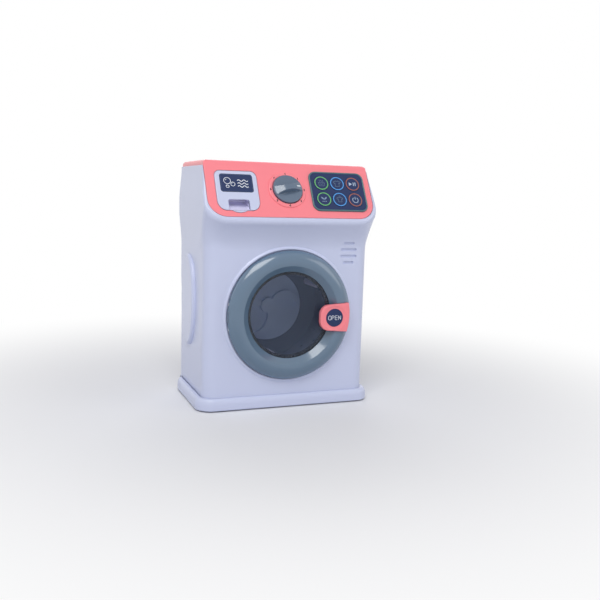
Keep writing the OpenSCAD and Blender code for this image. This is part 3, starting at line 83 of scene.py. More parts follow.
# Local frames: the door's is x, up, out of the front; the panel's is x, up the slope, out of it
DOOR_FRAME = Matrix.Translation((0, FRONT_Y, DOOR_Z)) @ Matrix.Rotation(math.pi / 2, 4, "X")
PANEL_FRAME = Matrix.Translation((0, PANEL_Y, PANEL_Z)) @ Matrix.Rotation(
    math.pi / 2 - PANEL_TILT, 4, "X"
)


def panel_middle(node):
    """The middle of a node in the panel's frame."""
    low, high = cad_box(node)
    return PANEL_FRAME.inverted() @ ((low + high) / 2)


KEYPAD = panel_middle("keypad_plate")
DIAL = panel_middle("dial_encoder")


class WasherSizes(bpy.types.PropertyGroup):
    """Sizes of the finish, in metres."""

    pad_edge: FloatProperty(
        name="Foot pad edge", description="Radius round a foot pad's edge", default=0.0002, unit="LENGTH"
    )
    drawer_gap: FloatProperty(
        name="Drawer gap", description="Gap round the drawer's front", default=0.00035, unit="LENGTH"
    )
    line: FloatProperty(
        name="Printed line", description="Width of a line in the keys' signs", default=0.0005, unit="LENGTH"
    )
    grain: FloatProperty(
        name="Surface grain", description="Size of the plastic's fine ripple", default=0.0009, unit="LENGTH"
    )
    floor: FloatProperty(
        name="Floor", description="Half the width of the floor", default=6.0, unit="LENGTH"
    )


def colour_property(name, description, default):
    """A colour that can be set in the sidebar."""
    return FloatVectorProperty(
        name=name, description=description, default=default, size=3, min=0, max=1, subtype="COLOR_GAMMA"
    )


class WasherColours(bpy.types.PropertyGroup):
    """Colours of the finish, as they read on a screen."""

    shell: colour_property("Shell", "White moulding of the cabinet", (0.80, 0.825, 0.925))
    coral: colour_property("Coral", "Panel, top cover and latch", (1.0, 0.54, 0.575))
    slate: colour_property("Slate", "Dial and hinge", (0.345, 0.42, 0.51))
    ring: colour_property("Ring", "Ring of the door", (0.375, 0.47, 0.56))
    navy: colour_property("Navy", "Key panel, badge and label", (0.08, 0.165, 0.345))
    teal: colour_property("Teal", "Key panel's frame", (0.28, 0.45, 0.47))
    lilac: colour_property("Lilac", "Inner mouldings", (0.90, 0.89, 0.985))
    drum: colour_property("Drum", "Drum inside the door", (0.44, 0.48, 0.56))
    swirl: colour_property("Swirl", "Petals at the drum's back", (0.80, 0.87, 1.0))
    smoke: colour_property("Smoke", "Window of the door", (0.34, 0.39, 0.48))
    ink: colour_property("Ink", "Printed marks", (0.90, 0.92, 0.95))


def linear(colour):
    """A screen colour as the shader takes it."""
    return [c / 12.92 if c <= 0.04045 else ((c + 0.055) / 1.055) ** 2.4 for c in colour]


# Outlines, as counter-clockwise points in a plane

def arc(x, y, radius, start, end, steps):
    """Points on an arc between two angles in degrees."""
    turns = [math.radians(start + (end - start) * i / steps) for i in range(steps + 1)]
    return [Vector((x + radius * math.cos(t), y + radius * math.sin(t))) for t in turns]


def circle(radius, steps=64, x=0.0, y=0.0):
    return arc(x, y, radius, 0, 360 - 360 / steps, steps - 1)


def box_outline(x0, x1, y0, y1, low_r, top_r, steps=8):
    """A rectangle with one radius for its two lower corners and one for its upper."""
    return (
        arc(x1 - low_r, y0 + low_r, low_r, -90, 0, steps)
        + arc(x1 - top_r, y1 - top_r, top_r, 0, 90, steps)
        + arc(x0 + top_r, y1 - top_r, top_r, 90, 180, steps)
        + arc(x0 + low_r, y0 + low_r, low_r, 180, 270, steps)
    )


def round_rect(width, height, radius, x=0.0, y=0.0, steps=8):
    return box_outline(
        x - width / 2, x + width / 2, y - height / 2, y + height / 2, radius, radius, steps
    )


def inset(points, distance):
    """The outline moved inwards, or outwards where the distance is negative."""
    moved = []
    for i, point in enumerate(points):
        before = (point - points[i - 1]).normalized()
        after = (points[(i + 1) % len(points)] - point).normalized()
        normal = Vector((-before.y - after.y, before.x + after.x))
        moved.append(point + normal * distance / max(0.2, 1 + before.dot(after)))
    return moved


class Form:
    """A mesh in the making, in millimetres in a local frame."""

    def __init__(self, matrix=None):
        self.bm = bmesh.new()
        self.matrix = matrix or Matrix()

    def rings(self, loops, wrap=False):
        """Skins a row of loops that have as many points each."""
        rows = [[self.bm.verts.new(p) for p in loop] for loop in loops]
        pairs = list(zip(rows, rows[1:])) + ([(rows[-1], rows[0])] if wrap else [])
        for a, b in pairs:
            for i in range(len(a)):
                self.bm.faces.new((a[i - 1], a[i], b[i], b[i - 1]))
        if not wrap:
            self.bm.faces.new(rows[0][::-1])
            self.bm.faces.new(rows[-1])
        return self

    def slab(self, outline, low, high, low_round=0.0, top_round=0.0, steps=4):
        """An outline drawn out between two heights, with its edges rounded."""
        loops = []
        for i in range(steps + 1 if low_round else 1):
            turn = math.pi / 2 * (i / steps if low_round else 1)
            loops.append((low_round * (1 - math.sin(turn)), low + low_round * (1 - math.cos(turn))))
        for i in range(steps + 1 if top_round else 1):
            turn = math.pi / 2 * (i / steps if top_round else 0)
            loops.append((top_round * (1 - math.cos(turn)), high - top_round * (1 - math.sin(turn))))
        return self.rings([[(p.x, p.y, z) for p in inset(outline, d)] for d, z in loops])

    def level_slab(self, outline, low, high, top_round, steps=4):
        """A slab on the panel whose walls run level, straight back into the machine."""
        loops = [(0.0, low)]
        for i in range(steps + 1):
            turn = math.pi / 2 * i / steps
            loops.append((top_round * (1 - math.cos(turn)), high - top_round * (1 - math.sin(turn))))
        lean = math.tan(PANEL_TILT)
        return self.rings([[(p.x, p.y - z * lean, z) for p in inset(outline, d)] for d, z in loops])

    def spin(self, profile, steps=96):
        """A closed profile of radius and height, turned about the frame's third axis."""
        loops = []
        for i in range(steps):
            turn = 2 * math.pi * i / steps
            loops.append([(p[0] * math.cos(turn), p[0] * math.sin(turn), p[1]) for p in profile])
        self.rings(loops, wrap=True)
        bmesh.ops.remove_doubles(self.bm, verts=self.bm.verts, dist=1e-4)
        return self

    def frame_of(self, outline, width, low, high, round_by=0.3, steps=3):
        """A frame that follows an outline, with its upper edges rounded."""
        section = [(0, low), (0, high - round_by)]
        section += [
            (round_by * (1 - math.cos(t)), high - round_by * (1 - math.sin(t)))
            for t in [math.pi / 2 * i / steps for i in range(1, steps + 1)]
        ]
        section += [
            (width - round_by * (1 - math.sin(t)), high - round_by * (1 - math.cos(t)))
            for t in [math.pi / 2 * i / steps for i in range(steps + 1)]
        ]
        section += [(width, low)]
        loops = [[(p.x, p.y, z) for p in inset(outline, d)] for d, z in section]
        return self.rings(loops, wrap=True)

    def strip(self, path, width, low, high, closed=False):
        """A flat raised line along a path."""
        half = width / 2
        if closed:
            loops = [inset(path, d) for d in (-half, half)]
            sections = [(loops[0], low), (loops[0], high), (loops[1], high), (loops[1], low)]
            return self.rings([[(p.x, p.y, z) for p in loop] for loop, z in sections], wrap=True)
        left, right = [], []
        for i, point in enumerate(path):
            ahead = path[min(i + 1, len(path) - 1)] - path[max(i - 1, 0)]
            side = Vector((-ahead.y, ahead.x)).normalized() * half
            left.append(point + side)
            right.append(point - side)
        outline = right + left[::-1]
        return self.rings([[(p.x, p.y, z) for p in outline] for z in (low, high)])

    def join(self, other):
        """Takes in another form, whose frame lies in this one's."""
        mesh = bpy.data.meshes.new("part")
        other.bm.transform(other.matrix)
        other.bm.to_mesh(mesh)
        other.bm.free()
        self.bm.from_mesh(mesh)
        bpy.data.meshes.remove(mesh)

    def mesh(self, name):
        bmesh.ops.recalc_face_normals(self.bm, faces=self.bm.faces)
        self.bm.transform(Matrix.Scale(MM, 4) @ self.matrix)
        mesh = bpy.data.meshes.new(name)
        self.bm.to_mesh(mesh)
        self.bm.free()
        return mesh


# How far a printed mark stands up, in millimetres
PRINT_UP = 0.06

# Below the first angle an edge is shaded smooth, and within the second, faces are taken as one flat
SMOOTH_BELOW = math.radians(38)
FLAT_WITHIN = math.radians(0.5)

# Points this near are one point, in metres
WELD_WITHIN = 1e-6


def cut(obj, *forms):
    """Takes the forms out of a piece."""
    for form in forms:
        cutter = bpy.data.objects.new("cutter", form.mesh("cutter"))
        bpy.context.scene.collection.objects.link(cutter)
        modifier = obj.modifiers.new("Cut", "BOOLEAN")
        modifier.operation = "DIFFERENCE"
        modifier.object = cutter
        modifier.solver = "EXACT"
        bpy.context.view_layer.update()
        shape = bpy.data.meshes.new_from_object(obj.evaluated_get(bpy.context.evaluated_depsgraph_get()))
        obj.modifiers.remove(modifier)
        obj.data = shape
        bpy.data.objects.remove(cutter)
    if not obj.data.polygons:
        raise RuntimeError(f"nothing is left of {obj.name} after its cuts")


def soften(obj):
    """Marks the sharp edges, smooths the rest, and shades the flats flat."""
    obj.data.shade_smooth()
    obj.data.set_sharp_from_angle(angle=SMOOTH_BELOW)
    obj.modifiers.new("Normals", "WEIGHTED_NORMAL").keep_sharp = True


def piece(name, form, material, body, replaces=(), cuts=()):
    """Makes a finished piece of a form and lets it ride on its body."""
    obj = bpy.data.objects.new(name, form.mesh(name))
    bpy.context.scene.collection.objects.link(obj)
    if cuts:
        cut(obj, *cuts)
    obj.data.materials.clear()
    obj.data.materials.append(material)
    soften(obj)
    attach(obj, body)
    if replaces:
        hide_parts(*replaces)
    return obj


def dress(nodes, material, width=0.0):
    """Gives CAD nodes their finish, and rounds their edges where a width is given."""
    for node in nodes:
        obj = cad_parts[node]
        obj.data.materials.clear()
        obj.data.materials.append(material)
        if width:
            weld = obj.modifiers.new("Weld", "WELD")
            weld.merge_threshold = WELD_WITHIN
            planar = obj.modifiers.new("Planar", "DECIMATE")
            planar.decimate_type = "DISSOLVE"
            planar.angle_limit = FLAT_WITHIN
            bevel = obj.modifiers.new("Edges", "BEVEL")
            bevel.width = width * MM
            bevel.segments = 3
            bevel.limit_method = "ANGLE"
            bevel.angle_limit = SMOOTH_BELOW
            bevel.use_clamp_overlap = False
            obj.modifiers.new("Normals", "WEIGHTED_NORMAL")


# Finishes

def plastic(name, colour, rough=0.3, grain=6e-7, shade=0.006, metal=0.0, coat=0.0, shine=0.5):
    """Moulded plastic: slight drifts of tone and gloss, and a fine ripple."""
    name = f"washer_{name}"
    if name in bpy.data.materials:
        return bpy.data.materials[name]
    material = bpy.data.materials.new(name)
    material.use_nodes = True
    nodes, links = material.node_tree.nodes, material.node_tree.links
    shader = nodes["Principled BSDF"]
    shader.inputs["Metallic"].default_value = metal
    shader.inputs["Coat Weight"].default_value = coat
    shader.inputs["Coat Roughness"].default_value = 0.08
    shader.inputs["Specular IOR Level"].default_value = shine
    place = nodes.new("ShaderNodeTexCoord")

    def noise(scale, detail):
        texture = nodes.new("ShaderNodeTexNoise")
        texture.inputs["Scale"].default_value = scale
        texture.inputs["Detail"].default_value = detail
        links.new(place.outputs["Object"], texture.inputs["Vector"])
        return texture.outputs["Fac"]

    tone = nodes.new("ShaderNodeMix")
    tone.data_type = "RGBA"
    base = linear(colour)
    tone.inputs["A"].default_value = [c * (1 - shade) for c in base] + [1]
    tone.inputs["B"].default_value = [min(1, c * (1 + shade)) for c in base] + [1]
    links.new(noise(22, 2), tone.inputs["Factor"])
    links.new(tone.outputs["Result"], shader.inputs["Base Color"])
    gloss = nodes.new("ShaderNodeMapRange")
    gloss.inputs["From Min"].default_value = 0.3
    gloss.inputs["From Max"].default_value = 0.7
    gloss.inputs["To Min"].default_value = rough * 0.99
    gloss.inputs["To Max"].default_value = rough * 1.01
    links.new(noise(60, 1), gloss.inputs["Value"])
    links.new(gloss.outputs["Result"], shader.inputs["Roughness"])
    bump = nodes.new("ShaderNodeBump")
    bump.inputs["Distance"].default_value = grain
    links.new(noise(1 / bpy.context.scene.washer_sizes.grain, 2), bump.inputs["Height"])
    links.new(bump.outputs["Normal"], shader.inputs["Normal"])
    return material


def smoked_clear(name, colour, veil=0.16):
    """Clear smoked plastic, glossy on its outside."""
    material = plastic(name, colour, rough=0.06)
    shader = material.node_tree.nodes["Principled BSDF"]
    shader.inputs["Alpha"].default_value = veil
    return material


def finishes():
    """Every finish of the washer by name."""
    colour = bpy.context.scene.washer_colours
    return {
        "shell": plastic("shell_white", colour.shell, rough=0.26),
        "coral": plastic("coral_plastic", colour.coral, rough=0.28),
        "slate": plastic("slate_plastic", colour.slate, rough=0.17, coat=0.6),
        "ring": plastic("ring_plastic", colour.ring, rough=0.17, coat=0.6),
        "navy": plastic("navy_print", colour.navy, rough=0.34, shine=0.4),
        "teal": plastic("teal_plastic", colour.teal, rough=0.33),
        "lilac": plastic("lilac_plastic", colour.lilac, rough=0.35),
        "drum": plastic("drum_grey", colour.drum, rough=0.35, shine=0.3),
        "swirl": plastic("swirl_grey", colour.swirl, rough=0.3, shine=0.2),
        "smoke": smoked_clear("smoked_clear", colour.smoke),
        "ink": plastic("white_ink", colour.ink, rough=0.5, shade=0.03),
        "dark": plastic("dark_plastic", (0.13, 0.14, 0.16), rough=0.42),
        "rubber": plastic("rubber", (0.11, 0.11, 0.12), rough=0.8, grain=8e-6),
        "steel": plastic("steel", (0.72, 0.73, 0.75), rough=0.28, metal=1.0),
        "brass": plastic("brass", (0.80, 0.66, 0.36), rough=0.3, metal=1.0),
        "board": plastic("board_green", (0.12, 0.36, 0.20), rough=0.4),
        "cell": plastic("cell_wrap", (0.72, 0.55, 0.22), rough=0.3),
        "green": plastic("green_ink", (0.42, 0.72, 0.45), rough=0.4),
        "blue": plastic("blue_ink", (0.33, 0.62, 0.90), rough=0.4),
        "brown": plastic("brown_ink", (0.62, 0.37, 0.33), rough=0.4),
        "faint": plastic("faint_ink", (0.33, 0.42, 0.53), rough=0.4),
        "pale": plastic("pale_ink", (0.70, 0.77, 0.86), rough=0.45),
        "dim": plastic("dim_ink", (0.50, 0.60, 0.71), rough=0.45),
        "black": plastic("black_ink", (0.10, 0.08, 0.09), rough=0.5),
    }


class FinishOperator(bpy.types.Operator):
    """Adds one part of the washer."""

    bl_options = {"REGISTER", "UNDO"}

    def execute(self, context):
        self.build(finishes(), context.scene.washer_sizes)
        return {"FINISHED"}


# The cabinet's outside: half widths, heights where they change, and radii
BODY_HALF = 82.5
HEAD_HALF = 85.0
HEAD_TOP_HALF = 82.8
HEAD_MARGIN = 2.0
SWELL_LOW = 150.0
SWELL_HIGH = 186.0
TAPER_LOW = 194.0
FLARE_R = 15.0
CABINET_R = 13.0
LIP_LOW = -5.85
LIP_CORNER = 24.0
LIP_ROUND = 4.5
PANEL_EDGE = 0.5
SIDE_ROUND = 2.2
RIM_ROUND = 0.8
RIM_BAND = 3.0
RIM_SHY = 0.02
WALL = 2.2
AXIS_Y = 8.0

# The bed under the coloured panel
FASCIA_HALF = FASCIA_HIGH.x
FASCIA_CORNER = 17.0
BED_GAP = 0.4
BED_LEN = 140.0

# The door's mouth, its bezel and the latch's slot
MOUTH_R = 50.5
MOUTH_DEEP = 12.0
SLOT_GAP = 1.0
SLOT_DEEP = 6.0
BEZEL_R = DOOR_R + 0.8
BEZEL_W = 3.0
BEZEL_OUT = 1.5
BEZEL_SUNK = 1.0

# The bezel's top: how far along from its inner edge, how far under its crest
BEZEL_TOP = [(0, 0.3), (0.1, 0.1), (0.3, 0), (1.1, 0.08), (1.8, 0.4), (2.4, 0.95)]

# The raised oval of a side
OVAL_W = 48.0
OVAL_H = 90.0
OVAL_OUT = 2.8
OVAL_SUNK = 1.0
OVAL_Y = SHELL_HIGH.y - 37
OVAL_Z = 98.0

# The blind vents, each with its length and its height over the door's middle
VENT_X = 59.9
VENT_W = 2.8
VENT_DEEP = 1.3
VENT_CLEAR = 4.0
VENTS = [(11.3, 68.1), (17.0, 61.9), (17.0, 55.7), (11.3, 49.5)]

# How far a cutter stands clear of what it cuts
CLEAR = 5.0
FAR_CLEAR = 60.0

# Between which two places the cabinet's outside is looked for, from its axis and from its flat front
AXIS_NEAR = 8.0
AXIS_FAR = 140.0
FRONT_IN = 5.0
FRONT_OUT = 30.0
HALVINGS = 34

# Angles in degrees: where the cabinet's corner is looked for, and how far beside it points stand close
CORNER_FROM = -75.0
CORNER_TO = -9.9
CORNER_STEP = 0.25
CORNER_NEAR = 3.0
CORNER_WIDE = 11.0
REAR_NEAR = 1.0


def round_both(a, b, radius):
    """The meeting of two distance fields, with its outer edge rounded."""
    a, b = a + radius, b + radius
    return np.minimum(np.maximum(a, b), 0) + np.hypot(np.maximum(a, 0), np.maximum(b, 0)) - radius


def fillet_either(a, b, radius):
    """The union of two distance fields, with its inner corner hollowed."""
    hollow = np.hypot(np.maximum(radius - a, 0), np.maximum(radius - b, 0))
    return np.maximum(radius, np.minimum(a, b)) - hollow


def head_half(z):
    """Half the width of the cabinet at a height: it swells softly beside the controls."""
    def ease(low, high):
        t = np.clip((z - low) / (high - low), 0, 1)
        return t * t * (3 - 2 * t)

    swell = (HEAD_HALF - BODY_HALF) * ease(SWELL_LOW, SWELL_HIGH)
    return BODY_HALF + swell - (HEAD_HALF - HEAD_TOP_HALF) * ease(TAPER_LOW, SHELL_HIGH.z)


def cabinet_field(x, y, z):
    """Distance from the cabinet's outside, below zero inside."""
    side = np.abs(x) - head_half(z)
    front = round_both(side, FRONT_Y - y, CABINET_R)
    back = y - SHELL_HIGH.y
    s = (y - PANEL_Y) * math.sin(PANEL_TILT) + (z - PANEL_Z) * math.cos(PANEL_TILT)
    n = -(y - PANEL_Y) * math.cos(PANEL_TILT) + (z - PANEL_Z) * math.sin(PANEL_TILT)
    outline = round_both(np.abs(x) - HEAD_HALF - HEAD_MARGIN, LIP_LOW - s, LIP_CORNER)
    head = round_both(outline, n, LIP_ROUND)
    whole = fillet_either(front, head, FLARE_R)
    whole = round_both(whole, n, PANEL_EDGE)
    whole = round_both(whole, side, SIDE_ROUND)
    whole = round_both(whole, z - SHELL_HIGH.z, RIM_ROUND)
    return round_both(whole, back, RIM_ROUND)


def reach(z, depth, turns):
    """How far the cabinet reaches from its axis at a height, at a depth under its outside."""
    low, high = np.full(len(turns), AXIS_NEAR), np.full(len(turns), AXIS_FAR)
    for _ in range(HALVINGS):
        middle = (low + high) / 2
        inside = cabinet_field(middle * np.cos(turns), AXIS_Y + middle * np.sin(turns), z) < -depth
        low, high = np.where(inside, middle, low), np.where(inside, high, middle)
    return low


def radial_loop(z, depth):
    """The cabinet's section at a height, with its points close together round its corners."""
    search = np.radians(np.arange(CORNER_FROM, CORNER_TO, CORNER_STEP))
    far = reach(z, 0, search)
    top = int(np.clip(np.argmax(far), 1, len(search) - 2))
    below, here, above = far[top - 1:top + 2]
    bend = below - 2 * here + above
    corner = math.degrees(search[top])
    if bend < 0:
        corner += CORNER_STEP / 2 * (below - above) / bend
    rear = math.degrees(math.atan2(SHELL_HIGH.y - AXIS_Y, head_half(z)))
    stops = [
        (-90, 16), (corner - CORNER_WIDE, 12), (corner - CORNER_NEAR, 24), (corner + CORNER_NEAR, 12),
        (corner + CORNER_WIDE, 10), (rear - REAR_NEAR, 8), (rear + REAR_NEAR, 16), (90, 0),
    ]
    right = np.concatenate([
        np.linspace(start, end, count, endpoint=False)
        for (start, count), (end, _) in zip(stops, stops[1:])
    ])
    turns = np.radians(np.concatenate([right, 180 - np.append(right[1:], 90)[::-1]]))
    return [
        (r * math.cos(t), AXIS_Y + r * math.sin(t), z) for r, t in zip(reach(z, depth, turns), turns)
    ]


def front_out(x, z):
    """How far the cabinet's front stands out of its flat at a place."""
    inside, outside = FRONT_Y + FRONT_IN, FRONT_Y - FRONT_OUT
    for _ in range(HALVINGS):
        middle = (inside + outside) / 2
        if cabinet_field(x, middle, z) < 0:
            inside = middle
        else:
            outside = middle
    return FRONT_Y - inside


def spread(stops):
    """Values from stop to stop, each stretch in its own step."""
    values = []
    for (start, step), (end, _) in zip(stops, stops[1:]):
        count = max(1, round((end - start) / step))
        values += [start + (end - start) * i / count for i in range(count)]
    return values


class WASHER_OT_cabinet(FinishOperator):
    """Builds the cabinet's shell with its flared head, side ovals and bezel"""

    bl_idname = "washer.cabinet"
    bl_label = "Cabinet"

    def shell(self):
        """A thin-walled shell, from radial sections through its distance field."""
        top, band = SHELL_HIGH.z - RIM_SHY, SHELL_HIGH.z - RIM_BAND
        rise = spread([(SHELL_LOW.z, 8), (SWELL_LOW, 0.8), (band, 0.25), (top, 1)]) + [top]
        loops = [radial_loop(z, 0) for z in rise]
        inner = spread([(SHELL_LOW.z, 10), (SWELL_LOW, 3), (band, 3)])
        loops += [radial_loop(z, WALL) for z in inner[::-1]]
        return Form().rings(loops, wrap=True)

    def cuts(self):
        """Everything that is open in the shell."""
        bed = box_outline(
            -FASCIA_HALF - BED_GAP, FASCIA_HALF + BED_GAP, -BED_GAP, BED_LEN,
            FASCIA_CORNER + BED_GAP, 1, 12
        )
        forms = [Form(PANEL_FRAME).slab(bed, -PANEL_SKIN, FAR_CLEAR)]
        forms.append(Form(DOOR_FRAME).slab(circle(MOUTH_R, 128), -MOUTH_DEEP, CLEAR))
        low, high = cad_box("latch_hook")
        slot = box_outline(
            low.x - SLOT_GAP, high.x + SLOT_GAP,
            low.z - DOOR_Z - SLOT_GAP, high.z - DOOR_Z + SLOT_GAP, 0.4, 0.4, 2
        )
        forms.append(Form(DOOR_FRAME).slab(slot, -SLOT_DEEP, CLEAR))
        for length, height in VENTS:
            outline = round_rect(length, VENT_W, VENT_W / 2 - 0.01, VENT_X, height, 8)
            face = front_out(VENT_X, DOOR_Z + height)
            forms.append(Form(DOOR_FRAME).slab(outline, face - VENT_DEEP, face + VENT_CLEAR, 0.3))
        half = BODY_HALF - WALL
        rear = box_outline(-half, half, SHELL_LOW.z - CLEAR, SHELL_HIGH.z + CLEAR, 0.5, 0.5, 2)
        back = Matrix.Translation((0, SHELL_HIGH.y + CLEAR, 0)) @ Matrix.Rotation(math.pi / 2, 4, "X")
        forms.append(Form(back).slab(rear, 0, CLEAR + WALL + 2))
        return forms

    def build(self, finish, sizes):
        piece(
            "cabinet", self.shell(), finish["shell"], "root", ["cabinet_shell"], self.cuts()
        )
        ring = [(BEZEL_R, -BEZEL_SUNK)]
        ring += [(BEZEL_R + along, BEZEL_OUT - under) for along, under in BEZEL_TOP]
        ring += [(BEZEL_R + BEZEL_W, -0.02), (BEZEL_R + BEZEL_W, -BEZEL_SUNK)]
        piece("door_bezel", Form(DOOR_FRAME).spin(ring, 160), finish["shell"], "root")
        for side, name in ((1, "oval_right"), (-1, "oval_left")):
            place = Matrix.Translation((side * (BODY_HALF - OVAL_SUNK), OVAL_Y, OVAL_Z))
            turn = Matrix.Rotation(side * math.pi / 2, 4, "Z") @ Matrix.Rotation(math.pi / 2, 4, "X")
            ellipse = [Vector((p.x * OVAL_W / 2, p.y * OVAL_H / 2)) for p in circle(1, 96)]
            form = Form(place @ turn).slab(ellipse, 0, OVAL_SUNK + OVAL_OUT, 0, OVAL_OUT, 6)
            piece(name, form, finish["shell"], "root")
        dress(["rear_cover", "battery_cover"], finish["shell"])


# The drawer's front and the lip under its finger notch
THUMB_R = 15.0
THUMB_OUT = 1.9
DRAWER_Z = DRAWER_LOW.z + THUMB_OUT
DRAWER_X = (DRAWER_LOW.x + DRAWER_HIGH.x) / 2


def drawer_outline():
    """The drawer's front seen from the front of the machine."""
    return box_outline(DRAWER_LOW.x, DRAWER_HIGH.x, DRAWER_Z, DRAWER_HIGH.z, 8.0, 5.2)


def on_slope(points):
    """An outline seen from the front, as it lies on the panel's slope."""
    return [Vector((p.x, (p.y - PANEL_Z) / math.cos(PANEL_TILT))) for p in points]


# The coloured moulding: its panel's slope, and the cover behind it
PANEL_LEN = 57.4
FASCIA_EDGE = 0.6
COVER_EDGE = 5.0
COVER_ROUND = 3.5
COVER_BACK_R = 1.5

# Its holes, and how far in front of the machine's middle the drawer's hole runs
KEY_HOLE_W = 48.8
KEY_HOLE_H = 33.4
KEY_HOLE_R = 5.0
SPINDLE_HOLE_R = 4.0
HOLE_DEEP = 6.0
DRAWER_HOLE_NEAR = 10.0
DRAWER_HOLE_FAR = 70.0

# The raised ring round the dial
DIAL_RING_IN = 14.8
DIAL_RING_R = 18.3
DIAL_RING_UP = 1.2


class WASHER_OT_fascia(FinishOperator):
    """Builds the coloured panel and top cover as one moulding"""

    bl_idname = "washer.fascia"
    bl_label = "Panel and top cover"

    def stations(self):
        """Along the middle, from the panel's foot to the back: place, outward direction, half width."""
        sin, cos = math.sin(PANEL_TILT), math.cos(PANEL_TILT)
        bend = math.pi / 2 - PANEL_TILT
        run = COVER_ROUND * math.tan(bend / 2)
        rows = []
        for i in range(17):
            turn = math.pi / 2 * i / 16
            s = FASCIA_CORNER * (1 - math.cos(turn))
            rows.append((s, FASCIA_HALF - FASCIA_CORNER * (1 - math.sin(turn))))
        rows += [(s, FASCIA_HALF) for s in (30, 45, 52, PANEL_LEN - run)]
        points = [((PANEL_Y + s * sin, PANEL_Z + s * cos), (-cos, sin), half) for s, half in rows]
        top = FASCIA_HIGH.z
        bend_y = PANEL_Y + PANEL_LEN * sin + run
        for i in range(1, 9):
            turn = PANEL_TILT + bend * i / 8
            out = (-math.cos(turn), math.sin(turn))
            place = (bend_y + COVER_ROUND * out[0], top - COVER_ROUND + COVER_ROUND * out[1])
            points.append((place, out, FASCIA_HALF))
        points += [((y, top), (0, 1), FASCIA_HALF) for y in (0, FASCIA_HIGH.y - COVER_BACK_R)]
        return points

    def build(self, finish, sizes):
        sin, cos = math.sin(PANEL_TILT), math.cos(PANEL_TILT)
        skirt = FASCIA_HIGH.z - COVER_EDGE
        corner_s = (skirt - PANEL_Z + PANEL_SKIN * sin) / cos
        corner = (PANEL_Y + corner_s * sin + PANEL_SKIN * cos, skirt)
        loops = []
        for (y, z), out, half in self.stations():
            s = (y - PANEL_Y) * sin + (z - PANEL_Z) * cos
            slope = out[1] < sin + 1e-6
            if slope and s < corner_s:
                foot = (y - PANEL_SKIN * out[0], z - PANEL_SKIN * out[1])
            else:
                foot = (max(y, corner[0]), skirt)
            share = 0 if slope else (out[1] - sin) / (1 - sin)
            radius = FASCIA_EDGE + (COVER_ROUND - FASCIA_EDGE) * share
            loops.append(self.section((y, z), out, half, foot, radius))
        y, z = self.stations()[-1][0]
        for i in range(1, 5):
            turn = math.pi / 2 * i / 4
            end = (y + COVER_BACK_R * math.sin(turn), z - COVER_BACK_R * (1 - math.cos(turn)))
            loops.append(self.section(end, (0, 1), FASCIA_HALF, (end[0], skirt), COVER_ROUND))
        form = Form().rings(loops)
        bmesh.ops.remove_doubles(form.bm, verts=form.bm.verts, dist=1e-4)
        cuts = self.cuts(sizes.drawer_gap / MM)
        piece("fascia", form, finish["coral"], "root", ["control_fascia"], cuts)
        ring = [
            (DIAL_RING_IN, -0.5), (DIAL_RING_IN, 0.9), (DIAL_RING_IN + 0.3, DIAL_RING_UP),
            (DIAL_RING_R - 0.9, DIAL_RING_UP), (DIAL_RING_R - 0.35, DIAL_RING_UP - 0.15),
            (DIAL_RING_R, DIAL_RING_UP - 0.6), (DIAL_RING_R + 0.3, 0.02), (DIAL_RING_R + 0.3, -0.5),
        ]
        place = PANEL_FRAME @ Matrix.Translation((DIAL.x, DIAL.y, 0))
        piece("dial_ring", Form(place).spin(ring, 128), finish["coral"], "root")

    def section(self, place, out, half, foot, radius):
        """One section: up the left side, over the top and down the right side."""
        right = []
        for i in range(7):
            turn = math.pi / 2 * i / 6
            right.append((half - radius * (1 - math.sin(turn)), radius * (1 - math.cos(turn))))
        points = [(-x, d) for x, d in right[::-1]] + right
        loop = [(-half, foot[0], foot[1])]
        loop += [(x, place[0] - out[0] * d, place[1] - out[1] * d) for x, d in points]
        loop.append((half, foot[0], foot[1]))
        return loop

    def cuts(self, gap):
        """The openings for the drawer with its thumb lip, the keys and the dial's spindle."""
        hole = inset(drawer_outline(), -gap)
        front = Matrix.Rotation(math.pi / 2, 4, "X")
        thumb = circle(THUMB_R + gap, 64, DRAWER_X, DRAWER_Z + THUMB_R - THUMB_OUT)
        keys = PANEL_FRAME @ Matrix.Translation((KEYPAD.x, KEYPAD.y, 0))
        dial = PANEL_FRAME @ Matrix.Translation((DIAL.x, DIAL.y, 0))
        return [
            Form(front).slab(hole, DRAWER_HOLE_NEAR, DRAWER_HOLE_FAR),
            Form(front).slab(thumb, DRAWER_HOLE_NEAR, DRAWER_HOLE_FAR),
            Form(keys).slab(round_rect(KEY_HOLE_W, KEY_HOLE_H, KEY_HOLE_R), -HOLE_DEEP, CLEAR),
            Form(dial).slab(circle(SPINDLE_HOLE_R, 32), -HOLE_DEEP, CLEAR),
        ]


# The plinth, and the well in it that the cabinet stands in
PLINTH_SHOULDER = 6.5
PLINTH_R = 15.5
PLINTH_IN = 3.2
PLINTH_BACK_IN = 1.6
PLINTH_FLOOR = 4.2
PLINTH_FOOT_R = 1.2
WALL_GAP = 0.3
SCREW_HEAD_R = 2.8
SCREW_SUNK = 1.4


